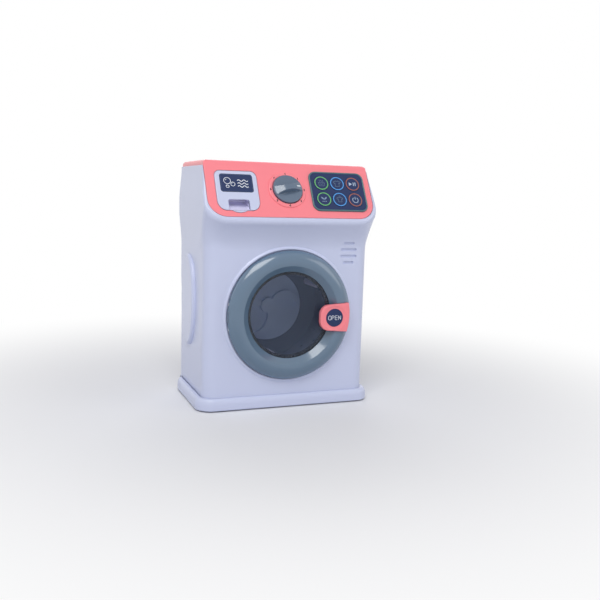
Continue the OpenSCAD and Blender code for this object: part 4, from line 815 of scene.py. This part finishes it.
class WASHER_OT_plinth(FinishOperator):
    """Builds the plinth with its rounded shoulder, on its rubber feet"""

    bl_idname = "washer.plinth"
    bl_label = "Plinth and feet"

    def outline(self, inward, back_in, z):
        """The plinth's outline at a height, drawn in by one measure at the back and another elsewhere."""
        points = box_outline(
            PLINTH_LOW.x + inward, PLINTH_HIGH.x - inward, PLINTH_LOW.y + inward,
            PLINTH_HIGH.y - back_in, PLINTH_R - inward, PLINTH_R - inward, 10
        )
        return [(p.x, p.y, z) for p in points]

    def build(self, finish, sizes):
        loops = []
        steps = 8
        for i in range(4):
            turn = math.pi / 2 * i / 3
            low = PLINTH_FOOT_R * (1 - math.sin(turn))
            loops.append(self.outline(low, low, PLINTH_LOW.z + PLINTH_FOOT_R * (1 - math.cos(turn))))
        for i in range(steps + 1):
            turn = math.pi / 2 * i / steps
            share = 1 - math.cos(turn)
            rise = (PLINTH_HIGH.z - PLINTH_SHOULDER) * math.sin(turn)
            loops.append(self.outline(PLINTH_IN * share, PLINTH_BACK_IN * share, PLINTH_SHOULDER + rise))
        half = BODY_HALF + WALL_GAP
        well = box_outline(
            -half, half, FRONT_Y - WALL_GAP, SHELL_HIGH.y + WALL_GAP, CABINET_R + WALL_GAP, WALL_GAP, 10
        )
        for z in (PLINTH_HIGH.z, PLINTH_FLOOR):
            loops.append([(p.x, p.y, z) for p in well])
        low, high = cad_box("base_screws")
        holes = [
            Form().slab(circle(SCREW_HEAD_R + WALL_GAP, 32, x, y), 0, PLINTH_LOW.z + SCREW_SUNK)
            for x in (low.x + SCREW_HEAD_R, high.x - SCREW_HEAD_R)
            for y in (low.y + SCREW_HEAD_R, high.y - SCREW_HEAD_R)
        ]
        piece(
            "plinth", Form().rings(loops), finish["shell"], "root", ["base_plinth"], holes
        )
        dress(["foot_pads"], finish["rubber"], sizes.pad_edge / MM)


# The liner's teeth
TEETH = 72
TEETH_R = 39.6
TOOTH_HALF = 0.55
TOOTH_LEN = 1.6
TOOTH_LOW = 0.8
TOOTH_HIGH = 2.6


class WASHER_OT_door(FinishOperator):
    """Finishes the door's ring, window and liner, and the mouth behind it"""

    bl_idname = "washer.door"
    bl_label = "Door"

    def build(self, finish, sizes):
        dress(["door_ring"], finish["ring"])
        dress(["door_window"], finish["smoke"])
        dress(["door_liner", "mouth_ring"], finish["dark"])
        dress(["hinge_bracket"], finish["slate"])
        teeth = Form(DOOR_FRAME)
        for i in range(TEETH):
            turn = math.tau * i / TEETH
            along = Vector((math.cos(turn), math.sin(turn)))
            side = Vector((-along.y, along.x)) * TOOTH_HALF
            root, tip = along * (TEETH_R + TOOTH_LEN), along * TEETH_R
            teeth.slab([root - side, root + side, tip + side, tip - side], TOOTH_LOW, TOOTH_HIGH)
        piece("liner_teeth", teeth, finish["dark"], "door")


# The latch's tab, its badge in a dish, and the badge's word
LATCH_CORNER = 9.4
TAB_RIM = 58.6
LATCH_FAN = math.radians(4)
LATCH_BACK = 7.2
TAB_ROUND = 1.1
BADGE_R = 8.7
BADGE_SUNK = 0.4
DISH = 0.75
DISH_W = 3.4
STROKE = 0.44
LETTER_W = 2.4
LETTER_H = 3.9
LETTER_GAP = 1.0
O_WIDER = 0.3
E_NARROWER = 0.1
BOWL_R = 1.0
BOWL_OUT = 0.1


class WASHER_OT_latch(FinishOperator):
    """Builds the latch's tab with its badge and word"""

    bl_idname = "washer.latch"
    bl_label = "Latch"

    def tab_outline(self):
        """Round at its two left corners, wider at the door's rim, and curved as the rim is."""
        half = (TAB_HIGH.z - TAB_LOW.z) / 2
        lift = (TAB_HIGH.z + TAB_LOW.z) / 2 - DOOR_Z
        x = TAB_LOW.x + LATCH_CORNER
        corner = half - (TAB_HIGH.x - x) * math.tan(LATCH_FAN) - LATCH_CORNER / math.cos(LATCH_FAN)
        left = arc(x, corner, LATCH_CORNER, 90 + math.degrees(LATCH_FAN), 180, 10)
        rim = []
        for i in range(13):
            y = half * (i / 6 - 1)
            rim.append(Vector((math.sqrt(TAB_RIM ** 2 - (y + lift) ** 2), y)))
        return rim + left + [Vector((p.x, -p.y)) for p in left[::-1]]

    def word(self, matrix):
        """OPEN, in even strokes."""
        form = Form(matrix)
        half, tall = LETTER_W / 2, LETTER_H / 2
        o, p, e, n = [(i - 1.5) * (LETTER_W + LETTER_GAP) for i in range(4)]
        ring = round_rect(LETTER_W + O_WIDER, LETTER_H, half, o, 0, 6)
        form.strip(ring, STROKE, 0, PRINT_UP, closed=True)
        bend, fold = p + BOWL_OUT, tall - 2 * BOWL_R
        bowl = [Vector((p - half, tall)), Vector((bend, tall))]
        bowl += [
            Vector((bend + BOWL_R * math.sin(t), tall - BOWL_R + BOWL_R * math.cos(t)))
            for t in (0.5, 1.0, 1.57, 2.1, 2.6)
        ]
        bowl += [Vector((bend, fold)), Vector((p - half, fold))]
        form.strip(bowl, STROKE, 0, PRINT_UP)
        lines = [((x, -tall), (x, tall)) for x in (p - half, e - half, n - half, n + half)]
        lines += [((e - half, y), (e + half - E_NARROWER, y)) for y in (-tall, 0, tall)]
        lines += [((n - half, tall), (n + half, -tall))]
        for start, end in lines:
            form.strip([Vector(start), Vector(end)], STROKE, 0, PRINT_UP)
        return form

    def build(self, finish, sizes):
        badge = DOOR_FRAME.inverted() @ ((BADGE_LOW + BADGE_HIGH) / 2)
        front = FRONT_Y - TAB_LOW.y
        place = DOOR_FRAME @ Matrix.Translation((0, badge.y, 0))
        middle = DOOR_FRAME @ Matrix.Translation((badge.x, badge.y, front))
        tab = Form(place).slab(self.tab_outline(), LATCH_BACK, front, 0.3, TAB_ROUND, 5)
        hollow = [(0, -1), (BADGE_R + 0.15, -1), (BADGE_R + 0.15, -DISH)]
        hollow += [
            (BADGE_R + 0.3 + DISH_W * i / 6, 0.02 - DISH * math.cos(math.pi / 2 * i / 6)) for i in range(7)
        ]
        hollow += [(BADGE_R + 0.3 + DISH_W, 2), (0, 2)]
        piece(
            "latch_tab_front", tab, finish["coral"], "latch", ["latch_tab"],
            [Form(middle).spin(hollow)]
        )
        disc = [
            (0, -1.05), (BADGE_R, -1.05), (BADGE_R, -BADGE_SUNK - 0.3), (BADGE_R - 0.3, -BADGE_SUNK),
            (0, -BADGE_SUNK),
        ]
        piece("badge", Form(middle).spin(disc), finish["navy"], "latch", ["latch_badge"])
        word = self.word(middle @ Matrix.Translation((0, 0, -BADGE_SUNK)))
        piece("latch_word", word, finish["ink"], "latch")
        dress(["latch_hook"], finish["coral"])


class WASHER_OT_drum(FinishOperator):
    """Finishes the drum, the tub round it and the drive behind it"""

    bl_idname = "washer.drum"
    bl_label = "Drum and drive"

    def build(self, finish, sizes):
        dress(["drum_shell"], finish["drum"])
        dress(["drum_lifters"], finish["lilac"])
        dress(["drum_swirl"], finish["swirl"])
        dress(["tub_shell"], finish["lilac"])
        dress(["drum_pulley", "motor_pulley"], finish["dark"])
        dress(["drive_belt"], finish["rubber"])
        dress(["bearing_bush"], finish["brass"])
        dress(["drum_shaft", "motor_shaft", "motor_can", "motor_bracket"], finish["steel"])


class WASHER_OT_hardware(FinishOperator):
    """Finishes the screws, the electrical parts and the other inner pieces"""

    bl_idname = "washer.hardware"
    bl_label = "Hardware"

    def build(self, finish, sizes):
        steel = [
            "battery_screw", "rear_screws", "base_screws", "tub_screws", "board_screws", "door_screws",
            "hinge_pin", "latch_keeper", "latch_springs", "dial_spindle", "battery_contacts",
        ]
        dress(steel, finish["steel"])
        dress(["key_switches", "control_chip", "dial_encoder", "speaker", "battery_box"], finish["dark"])
        dress(["circuit_board"], finish["board"])
        dress(["battery_cells"], finish["cell"])


# The drawer's front: how far it stands out, its finger notch, and the label's seat
DRAWER_OUT = 0.6
DRAWER_T = 2.4
THUMB_T = 1.6
NOTCH_W = 20.0
NOTCH_H = 9.59
NOTCH_DEEP = 9.0
NOTCH_END = 2.6
NOTCH_MOUTH = 30.0
CUP_WALL = 1.2
SEAT_GAP = 0.2
SEAT_DEEP = 0.4

# The label's bubbles, each with its place and radius, the heights of its waves, and its stitches
BUBBLES = [(-8.6, 2.2, 3.2), (-3.6, -1.2, 2.0), (-8.8, -3.6, 1.4)]
WAVES = [2.6, -0.4, -3.4]
HEM = 0.9
STITCH_PITCH = 1.3


class WASHER_OT_drawer(FinishOperator):
    """Builds the drawer's front with its finger notch, and a label plate of plain bubbles"""

    bl_idname = "washer.drawer"
    bl_label = "Drawer"

    def notch(self, grow=0.0):
        """A cup drawn straight back, whose floor slopes up to its end."""
        half = NOTCH_W / 2 + grow
        top = DRAWER_Z + NOTCH_H + grow
        lean = math.tan(PANEL_TILT)
        start = PANEL_Y + (DRAWER_Z - PANEL_Z) * lean + DRAWER_T / math.cos(PANEL_TILT)
        end = start + NOTCH_H * lean + NOTCH_DEEP + grow
        loops = []
        low = DRAWER_Z - grow
        for y, floor in ((start - NOTCH_MOUTH, low), (start, low), (end, top - NOTCH_END - 2 * grow)):
            outline = box_outline(DRAWER_X - half, DRAWER_X + half, floor, top, 0.3, 1.9, 4)
            loops.append([(p.x, y, p.y) for p in outline])
        return Form().rings(loops)

    def label(self, finish):
        """Soap bubbles beside waves, in a stitched hem."""
        low, high = cad_box("drawer_label")
        middle = panel_middle("drawer_label")
        width, height = high.x - low.x, (high.z - low.z) / math.cos(PANEL_TILT)
        form = Form(PANEL_FRAME @ Matrix.Translation((middle.x, middle.y, DRAWER_OUT)))
        for x, y, radius in BUBBLES:
            form.strip(circle(radius, 40, x, y), 0.5, 0, PRINT_UP, closed=True)
            form.strip(arc(x, y, radius * 0.55, 110, 165, 6), 0.4, 0, PRINT_UP)
        for y in WAVES:
            wave = [Vector((1.0 + i * 0.4, y + 0.8 * math.sin(i * 0.5))) for i in range(26)]
            form.strip(wave, 0.7, 0, PRINT_UP)
        piece("label_print", form, finish["ink"], "drawer")
        stitches = Form(form.matrix)
        hem = round_rect(width - 2 * HEM, height - 2 * HEM, 1.5, steps=4)
        for start, end in zip(hem, hem[1:] + hem[:1]):
            count = max(1, round((end - start).length / STITCH_PITCH))
            for i in range(count):
                dash = [start.lerp(end, (i + share) / count) for share in (0.2, 0.8)]
                if (dash[1] - dash[0]).length > 0.2:
                    stitches.strip(dash, 0.22, 0, 0.05)
        piece("label_stitches", stitches, finish["faint"], "drawer")

    def build(self, finish, sizes):
        front = Form(PANEL_FRAME).level_slab(on_slope(drawer_outline()), -DRAWER_T, DRAWER_OUT, 0.8)
        low, high = cad_box("drawer_label")
        middle = panel_middle("drawer_label")
        seat = round_rect(
            high.x - low.x + SEAT_GAP, (high.z - low.z) / math.cos(PANEL_TILT) + SEAT_GAP,
            2.4, middle.x, middle.y
        )
        piece(
            "drawer_face", front, finish["shell"], "drawer", ["drawer_front"],
            [self.notch(), Form(PANEL_FRAME).slab(seat, DRAWER_OUT - SEAT_DEEP, 3)]
        )
        turn = math.degrees(math.acos((THUMB_R - THUMB_OUT) / THUMB_R))
        moon = arc(DRAWER_X, DRAWER_Z + THUMB_R - THUMB_OUT, THUMB_R, 270 - turn, 270 + turn, 20)
        lip = Form(PANEL_FRAME).level_slab(on_slope(moon), -THUMB_T, DRAWER_OUT / 2, 0.3)
        piece("drawer_lip", lip, finish["shell"], "drawer", ["drawer_front"])
        skin = Form(PANEL_FRAME).slab(box_outline(-90, 90, -20, 90, 1, 1, 2), -THUMB_T, 30)
        piece(
            "drawer_cup", self.notch(CUP_WALL), finish["lilac"], "drawer",
            ["drawer_front"], [self.notch(), skin]
        )
        dress(["drawer_tray", "drawer_guide"], finish["slate"])
        dress(["drawer_label"], finish["navy"])
        self.label(finish)


# The dial: its round foot, the grip across it, and the marks round it
KNOB_R = 14.3
KNOB_FOOT = 0.3
KNOB_TURN = math.radians(11)
KNOB_RIM = 3.1
KNOB_ROUND = 0.7
KNOB_BOWL = 1.2
GRIP_TOP = 7.3
GRIP_ARCH = 25.3
GRIP_HALF = 2.3
GRIP_FLARE = 2.2
GRIP_WALL = 1.3
MARK_R = 16.5
POINTER_AT = 8.3
POINTER_LEN = 4.0
POINTER_HALF = 0.6


class WASHER_OT_dial(FinishOperator):
    """Builds the dial with its scooped grip, and the marks round it"""

    bl_idname = "washer.dial"
    bl_label = "Dial"

    def height(self, u, v):
        """Height of the dial's top, at a place along its grip and across it."""
        r = math.hypot(u, v)
        bowl = KNOB_RIM - KNOB_BOWL * (1 - (r / KNOB_R) ** 2)
        grip = GRIP_TOP - GRIP_ARCH + math.sqrt(GRIP_ARCH ** 2 - u * u)
        half = GRIP_HALF + GRIP_FLARE * (u / KNOB_R) ** 2
        share = min(1, max(0, (abs(v) - half) / GRIP_WALL))
        share = share * share * (3 - 2 * share)
        rim = max(0, r - KNOB_R + KNOB_ROUND)
        fall = KNOB_ROUND - math.sqrt(max(0, KNOB_ROUND ** 2 - rim ** 2))
        return bowl + max(0, grip - bowl) * (1 - share) - fall

    def build(self, finish, sizes):
        spot = PANEL_FRAME @ Matrix.Translation((DIAL.x, DIAL.y, 0))
        place = spot @ Matrix.Rotation(KNOB_TURN, 4, "Z")
        steps = 240
        turns = [math.tau * i / steps for i in range(steps)]
        radii = [KNOB_R - KNOB_ROUND * (1 - math.sin(math.pi / 2 * i / 6)) for i in range(6, 0, -1)]
        radii += [(KNOB_R - KNOB_ROUND) * i / 38 for i in range(38, 0, -1)]
        loops = [[(KNOB_R * math.cos(t), KNOB_R * math.sin(t), KNOB_FOOT) for t in turns]]
        for r in radii:
            loops.append([
                (r * math.cos(t), r * math.sin(t), self.height(r * math.cos(t), r * math.sin(t)))
                for t in turns
            ])
        piece("knob", Form(place).rings(loops), finish["slate"], "dial", ["dial_knob"])
        mark = []
        for i in range(9):
            u = POINTER_AT + POINTER_LEN * i / 8
            low, top = self.height(u, 0) - 0.3, self.height(u, 0) + PRINT_UP
            left, right = -POINTER_HALF, POINTER_HALF
            mark.append([(u, left, low), (u, right, low), (u, right, top), (u, left, top)])
        piece("knob_mark", Form(place).rings(mark), finish["ink"], "dial", ["dial_pointer"])
        self.marks(finish, spot)

    def marks(self, finish, spot):
        """A tick at the top, and plain numbers round the raised ring."""
        marks = Form(spot)
        tick = [Vector((0, MARK_R - 1)), Vector((0, MARK_R + 1))]
        marks.strip(tick, 0.8, DIAL_RING_UP, DIAL_RING_UP + 0.05)
        for number in range(1, 8):
            turn = math.pi / 2 - math.tau * number / 8
            place = Matrix.Translation((MARK_R * math.cos(turn), MARK_R * math.sin(turn), DIAL_RING_UP))
            marks.join(lettering(str(number), 2.3, place, bold=0.05))
        piece("dial_marks", marks, finish["black"], "root")


# The key panel: the keys' spacing, their printed rings, and the panel's frame
KEY_PITCH_X = 16.2
KEY_PITCH_S = 17.0
KEY_TOP = 1.3
KEY_RING_R = 6.55
KEY_RING_W = 0.95
KEYPAD_H = 41.5
KEY_FRAME_R = 7.0
KEY_FRAME_W = 1.4
KEY_FRAME_UP = 1.5
KEY_FRAME_ROUND = 0.55


class WASHER_OT_keys(FinishOperator):
    """Builds the key panel: its frame, its plate and six keys with their signs"""

    bl_idname = "washer.keys"
    bl_label = "Keys"

    def tub(self, form, line):
        """A wash tub with steam over it."""
        rim = [Vector(p) for p in ((-3.1, 0.4), (3.1, 0.4), (2.4, -2.9), (-2.4, -2.9))]
        form.strip(rim, line, 0, PRINT_UP, closed=True)
        water = [Vector((-1.9 + 0.4 * i, -1.2 + 0.35 * math.sin(i * 1.1))) for i in range(10)]
        form.strip(water, line, 0, PRINT_UP)
        for x in (-1.6, 0.0, 1.6):
            steam = [Vector((x + 0.35 * math.sin(i * 0.9), 1.2 + 0.3 * i)) for i in range(8)]
            form.strip(steam, line, 0, PRINT_UP)

    def shirt(self, form, line, size=1.0):
        """The outline of a short-sleeved shirt."""
        right = [(0.9, 3.0), (3.7, 1.6), (2.9, 0.1), (2.0, 0.6), (2.0, -3.0)]
        points = [Vector(p) * size for p in right]
        points += [Vector((-p.x, p.y)) for p in points[::-1]]
        points += [
            Vector((-p.x * 0.9 * size, (3.0 - 0.8 * p.y) * size)) for p in arc(0, 0, 1, 30, 150, 4)
        ]
        form.strip(points[::-1], line, 0, PRINT_UP, closed=True)

    def shirt_on_hanger(self, form, line):
        """A smaller shirt under a hook."""
        self.shirt(form, line, 0.86)
        form.strip(arc(0, 3.2, 0.6, -60, 150, 8), line, 0, PRINT_UP)

    def play(self, form, line):
        """Start and pause."""
        form.slab([Vector((-3.7, -1.9)), Vector((-0.4, 0)), Vector((-3.7, 1.9))], 0, PRINT_UP)
        for x in (1.0, 2.9):
            form.slab(round_rect(line * 1.6, 3.7, 0.1, x, 0, 2), 0, PRINT_UP)

    def leaf(self, form, line):
        """Two leaves over a broken line."""
        for side in (-1, 1):
            base, tip = Vector((0, -0.6)), Vector((side * 2.9, 2.3))
            across = Vector((tip.y - base.y, base.x - tip.x)).normalized() * 0.75
            edge = [base.lerp(tip, t / 8) + across * math.sin(math.pi * t / 8) for t in range(9)]
            back = [base.lerp(tip, t / 8) - across * math.sin(math.pi * t / 8) for t in range(7, 0, -1)]
            form.slab(edge + back, 0, PRINT_UP)
        for x in (-1.6, 0.0, 1.6):
            form.strip([Vector((x - 0.5, -2.4)), Vector((x + 0.5, -2.4))], line * 1.6, 0, PRINT_UP)

    def power(self, form, line):
        """The usual sign of a power switch."""
        form.strip(arc(0, -0.2, 2.8, 125, 415, 30), line * 1.15, 0, PRINT_UP)
        form.strip([Vector((0, 3.3)), Vector((0, 0.2))], line * 1.15, 0, PRINT_UP)

    def build(self, finish, sizes):
        low, high = cad_box("keypad_frame")
        width = high.x - low.x
        place = PANEL_FRAME @ Matrix.Translation((KEYPAD.x, KEYPAD.y, 0))
        edging = Form(place).frame_of(
            round_rect(width, KEYPAD_H, KEY_FRAME_R), KEY_FRAME_W, 0, KEY_FRAME_UP, KEY_FRAME_ROUND
        )
        piece("key_frame", edging, finish["teal"], "root", ["keypad_frame"])
        dress(["keypad_plate"], finish["navy"])
        dress([f"key_{i}" for i in range(1, 7)], finish["navy"])
        signs = (
            (self.tub, "faint"), (self.shirt, "faint"), (self.play, "pale"),
            (self.leaf, "dim"), (self.shirt_on_hanger, "faint"), (self.power, "pale"),
        )
        for i, (sign, shade) in enumerate(signs):
            row, column = divmod(i, 3)
            spot = place @ Matrix.Translation(
                ((column - 1) * KEY_PITCH_X, (0.5 - row) * KEY_PITCH_S, KEY_TOP)
            )
            ring = Form(spot).strip(circle(KEY_RING_R, 64), KEY_RING_W, 0, PRINT_UP, closed=True)
            ink = ("green", "blue", "brown")[column]
            piece(f"key_{i + 1}_ring", ring, finish[ink], f"key_{i + 1}_cap")
            icon = Form(spot)
            sign(icon, sizes.line / MM)
            piece(f"key_{i + 1}_sign", icon, finish[shade], f"key_{i + 1}_cap")


def lettering(text, height, matrix, bold):
    """Raised letters of a given height, in the middle of a local frame."""
    curve = bpy.data.curves.new("letters", "FONT")
    curve.body = text
    curve.extrude = 0.5
    curve.offset = bold
    curve.resolution_u = 4
    holder = bpy.data.objects.new("letters", curve)
    bpy.context.scene.collection.objects.link(holder)
    bpy.context.view_layer.update()
    mesh = bpy.data.meshes.new_from_object(holder.evaluated_get(bpy.context.evaluated_depsgraph_get()))
    bpy.data.objects.remove(holder)
    form = Form(matrix)
    form.bm.from_mesh(mesh)
    bmesh.ops.remove_doubles(form.bm, verts=form.bm.verts, dist=1e-5)
    low = [min(v.co[i] for v in form.bm.verts) for i in range(3)]
    high = [max(v.co[i] for v in form.bm.verts) for i in range(3)]
    grow = height / (high[1] - low[1])
    for v in form.bm.verts:
        v.co = (
            (v.co.x - (low[0] + high[0]) / 2) * grow,
            (v.co.y - (low[1] + high[1]) / 2) * grow,
            (v.co.z - low[2]) * PRINT_UP / (high[2] - low[2]),
        )
    return form


def combine(tree, operation, first, second):
    """Joins two values of a node tree into one."""
    node = tree.nodes.new("ShaderNodeMath")
    node.operation = operation
    tree.links.new(first, node.inputs[0])
    tree.links.new(second, node.inputs[1])
    return node.outputs[0]


def area_light(name, place, aim, width, height, power):
    """A soft lamp that looks at a place."""
    light = bpy.data.lights.new(name, "AREA")
    light.shape = "RECTANGLE"
    light.size, light.size_y = width, height
    light.energy = power
    obj = bpy.data.objects.new(name, light)
    obj.location = place
    obj.rotation_euler = (Vector(aim) - Vector(place)).to_track_quat("-Z", "Y").to_euler()
    bpy.context.scene.collection.objects.link(obj)


# The camera's place in metres, and its turns in radians
CAMERA_PLACE = (-0.249352, -0.701050, 0.203359)
CAMERA_ROLL = 0.0299
CAMERA_DIP = 0.1403
CAMERA_TURN = -0.3765
CAMERA_LENS = 44.99
SENSOR_W = 36

# The floor turns from lit paper to white between these two radii, in metres
PAPER_END = 0.12
WHITE_START = 0.55


class WASHER_OT_stage(bpy.types.Operator):
    """Adds the floor, the soft lights and the camera"""

    bl_idname = "washer.stage"
    bl_label = "Stage"
    bl_options = {"REGISTER", "UNDO"}

    def execute(self, context):
        scene = context.scene
        self.floor(scene)
        self.world(scene)
        area_light("key_light", (-0.55, -1.05, 1.45), (0, 0, 0.12), 1.1, 0.9, 16)
        area_light("fill_light", (1.2, -0.9, 0.7), (0, 0, 0.1), 0.8, 0.8, 3)
        area_light("side_light", (-1.4, 0.0, 0.8), (0, 0, 0.12), 0.8, 0.8, 1.2)
        area_light("back_light", (0.3, 1.3, 1.2), (0, 0, 0.12), 1.0, 0.8, 5)
        camera = bpy.data.cameras.new("camera")
        camera.lens = CAMERA_LENS
        camera.sensor_width = SENSOR_W
        obj = bpy.data.objects.new("camera", camera)
        look = Matrix(((1, 0, 0), (0, 0, -1), (0, 1, 0)))
        rows = (
            Matrix.Rotation(CAMERA_ROLL, 3, "Z") @ Matrix.Rotation(CAMERA_DIP, 3, "X") @ look
            @ Matrix.Rotation(-CAMERA_TURN, 3, "Z")
        )
        turn = Matrix((rows[0], -rows[1], -rows[2])).transposed()
        obj.matrix_world = Matrix.Translation(CAMERA_PLACE) @ turn.to_4x4()
        scene.collection.objects.link(obj)
        scene.camera = obj
        scene.view_settings.view_transform = "Standard"
        return {"FINISHED"}

    def floor(self, scene):
        """A pale floor that runs out into the white backdrop."""
        half = scene.washer_sizes.floor / MM
        form = Form()
        corners = ((-half, -half, 0), (half, -half, 0), (half, half, 0), (-half, half, 0))
        form.bm.faces.new([form.bm.verts.new(corner) for corner in corners])
        obj = bpy.data.objects.new("floor", form.mesh("floor"))
        scene.collection.objects.link(obj)
        material = bpy.data.materials.new("floor_paper")
        material.use_nodes = True
        nodes, links = material.node_tree.nodes, material.node_tree.links
        shader, output = nodes["Principled BSDF"], nodes["Material Output"]
        shader.inputs["Base Color"].default_value = (0.86, 0.86, 0.87, 1)
        shader.inputs["Roughness"].default_value = 0.9
        shader.inputs["Specular IOR Level"].default_value = 0.1
        white = nodes.new("ShaderNodeEmission")
        path = nodes.new("ShaderNodeLightPath")
        place = nodes.new("ShaderNodeTexCoord")
        far = nodes.new("ShaderNodeVectorMath")
        far.operation = "LENGTH"
        links.new(place.outputs["Object"], far.inputs[0])
        fade = nodes.new("ShaderNodeMapRange")
        fade.interpolation_type = "SMOOTHSTEP"
        fade.inputs["From Min"].default_value = PAPER_END
        fade.inputs["From Max"].default_value = WHITE_START
        links.new(far.outputs["Value"], fade.inputs["Value"])
        rays = path.outputs
        seen = combine(material.node_tree, "MAXIMUM", rays["Is Camera Ray"], rays["Is Glossy Ray"])
        share = combine(material.node_tree, "MULTIPLY", seen, fade.outputs["Result"])
        mix = nodes.new("ShaderNodeMixShader")
        links.new(share, mix.inputs["Fac"])
        links.new(shader.outputs[0], mix.inputs[1])
        links.new(white.outputs[0], mix.inputs[2])
        links.new(mix.outputs[0], output.inputs["Surface"])
        obj.data.materials.append(material)

    def world(self, scene):
        """Soft grey light all round, seen as white."""
        world = bpy.data.worlds.new("studio")
        scene.world = world
        world.use_nodes = True
        nodes, links = world.node_tree.nodes, world.node_tree.links
        soft = nodes["Background"]
        soft.inputs["Color"].default_value = (0.93, 0.94, 1.0, 1)
        soft.inputs["Strength"].default_value = 0.36
        white = nodes.new("ShaderNodeBackground")
        white.inputs["Color"].default_value = (1, 1, 1, 1)
        path = nodes.new("ShaderNodeLightPath")
        mix = nodes.new("ShaderNodeMixShader")
        rays = path.outputs
        clear = combine(world.node_tree, "MAXIMUM", rays["Is Glossy Ray"], rays["Is Transmission Ray"])
        seen = combine(world.node_tree, "MAXIMUM", rays["Is Camera Ray"], clear)
        links.new(seen, mix.inputs["Fac"])
        links.new(soft.outputs[0], mix.inputs[1])
        links.new(white.outputs[0], mix.inputs[2])
        links.new(mix.outputs[0], nodes["World Output"].inputs["Surface"])


PIECE_OPERATORS = (
    WASHER_OT_cabinet,
    WASHER_OT_fascia,
    WASHER_OT_plinth,
    WASHER_OT_door,
    WASHER_OT_latch,
    WASHER_OT_drum,
    WASHER_OT_hardware,
    WASHER_OT_drawer,
    WASHER_OT_dial,
    WASHER_OT_keys,
    WASHER_OT_stage,
)


class WASHER_PT_panel(bpy.types.Panel):
    """Lists the washer's parts, sizes and colours"""

    bl_label = "Toy Washing Machine"
    bl_idname = "WASHER_PT_panel"
    bl_space_type = "VIEW_3D"
    bl_region_type = "UI"
    bl_category = "Washer"

    def draw(self, context):
        for group in (context.scene.washer_sizes, context.scene.washer_colours):
            column = self.layout.column(align=True)
            for name in group.__annotations__:
                column.prop(group, name)
        for operator in PIECE_OPERATORS:
            self.layout.operator(operator.bl_idname)


CLASSES = (WasherSizes, WasherColours, *PIECE_OPERATORS, WASHER_PT_panel)


def register():
    for cls in CLASSES:
        bpy.utils.register_class(cls)
    bpy.types.Scene.washer_sizes = PointerProperty(type=WasherSizes)
    bpy.types.Scene.washer_colours = PointerProperty(type=WasherColours)


def unregister():
    del bpy.types.Scene.washer_colours
    del bpy.types.Scene.washer_sizes
    for cls in reversed(CLASSES):
        bpy.utils.unregister_class(cls)


def main():
    register()
    bpy.ops.washer.cabinet()
    bpy.ops.washer.fascia()
    bpy.ops.washer.plinth()
    bpy.ops.washer.door()
    bpy.ops.washer.latch()
    bpy.ops.washer.drum()
    bpy.ops.washer.hardware()
    bpy.ops.washer.drawer()
    bpy.ops.washer.dial()
    bpy.ops.washer.keys()
    bpy.ops.washer.stage()
    bpy.context.view_layer.update()


if __name__ == "__main__":
    main()
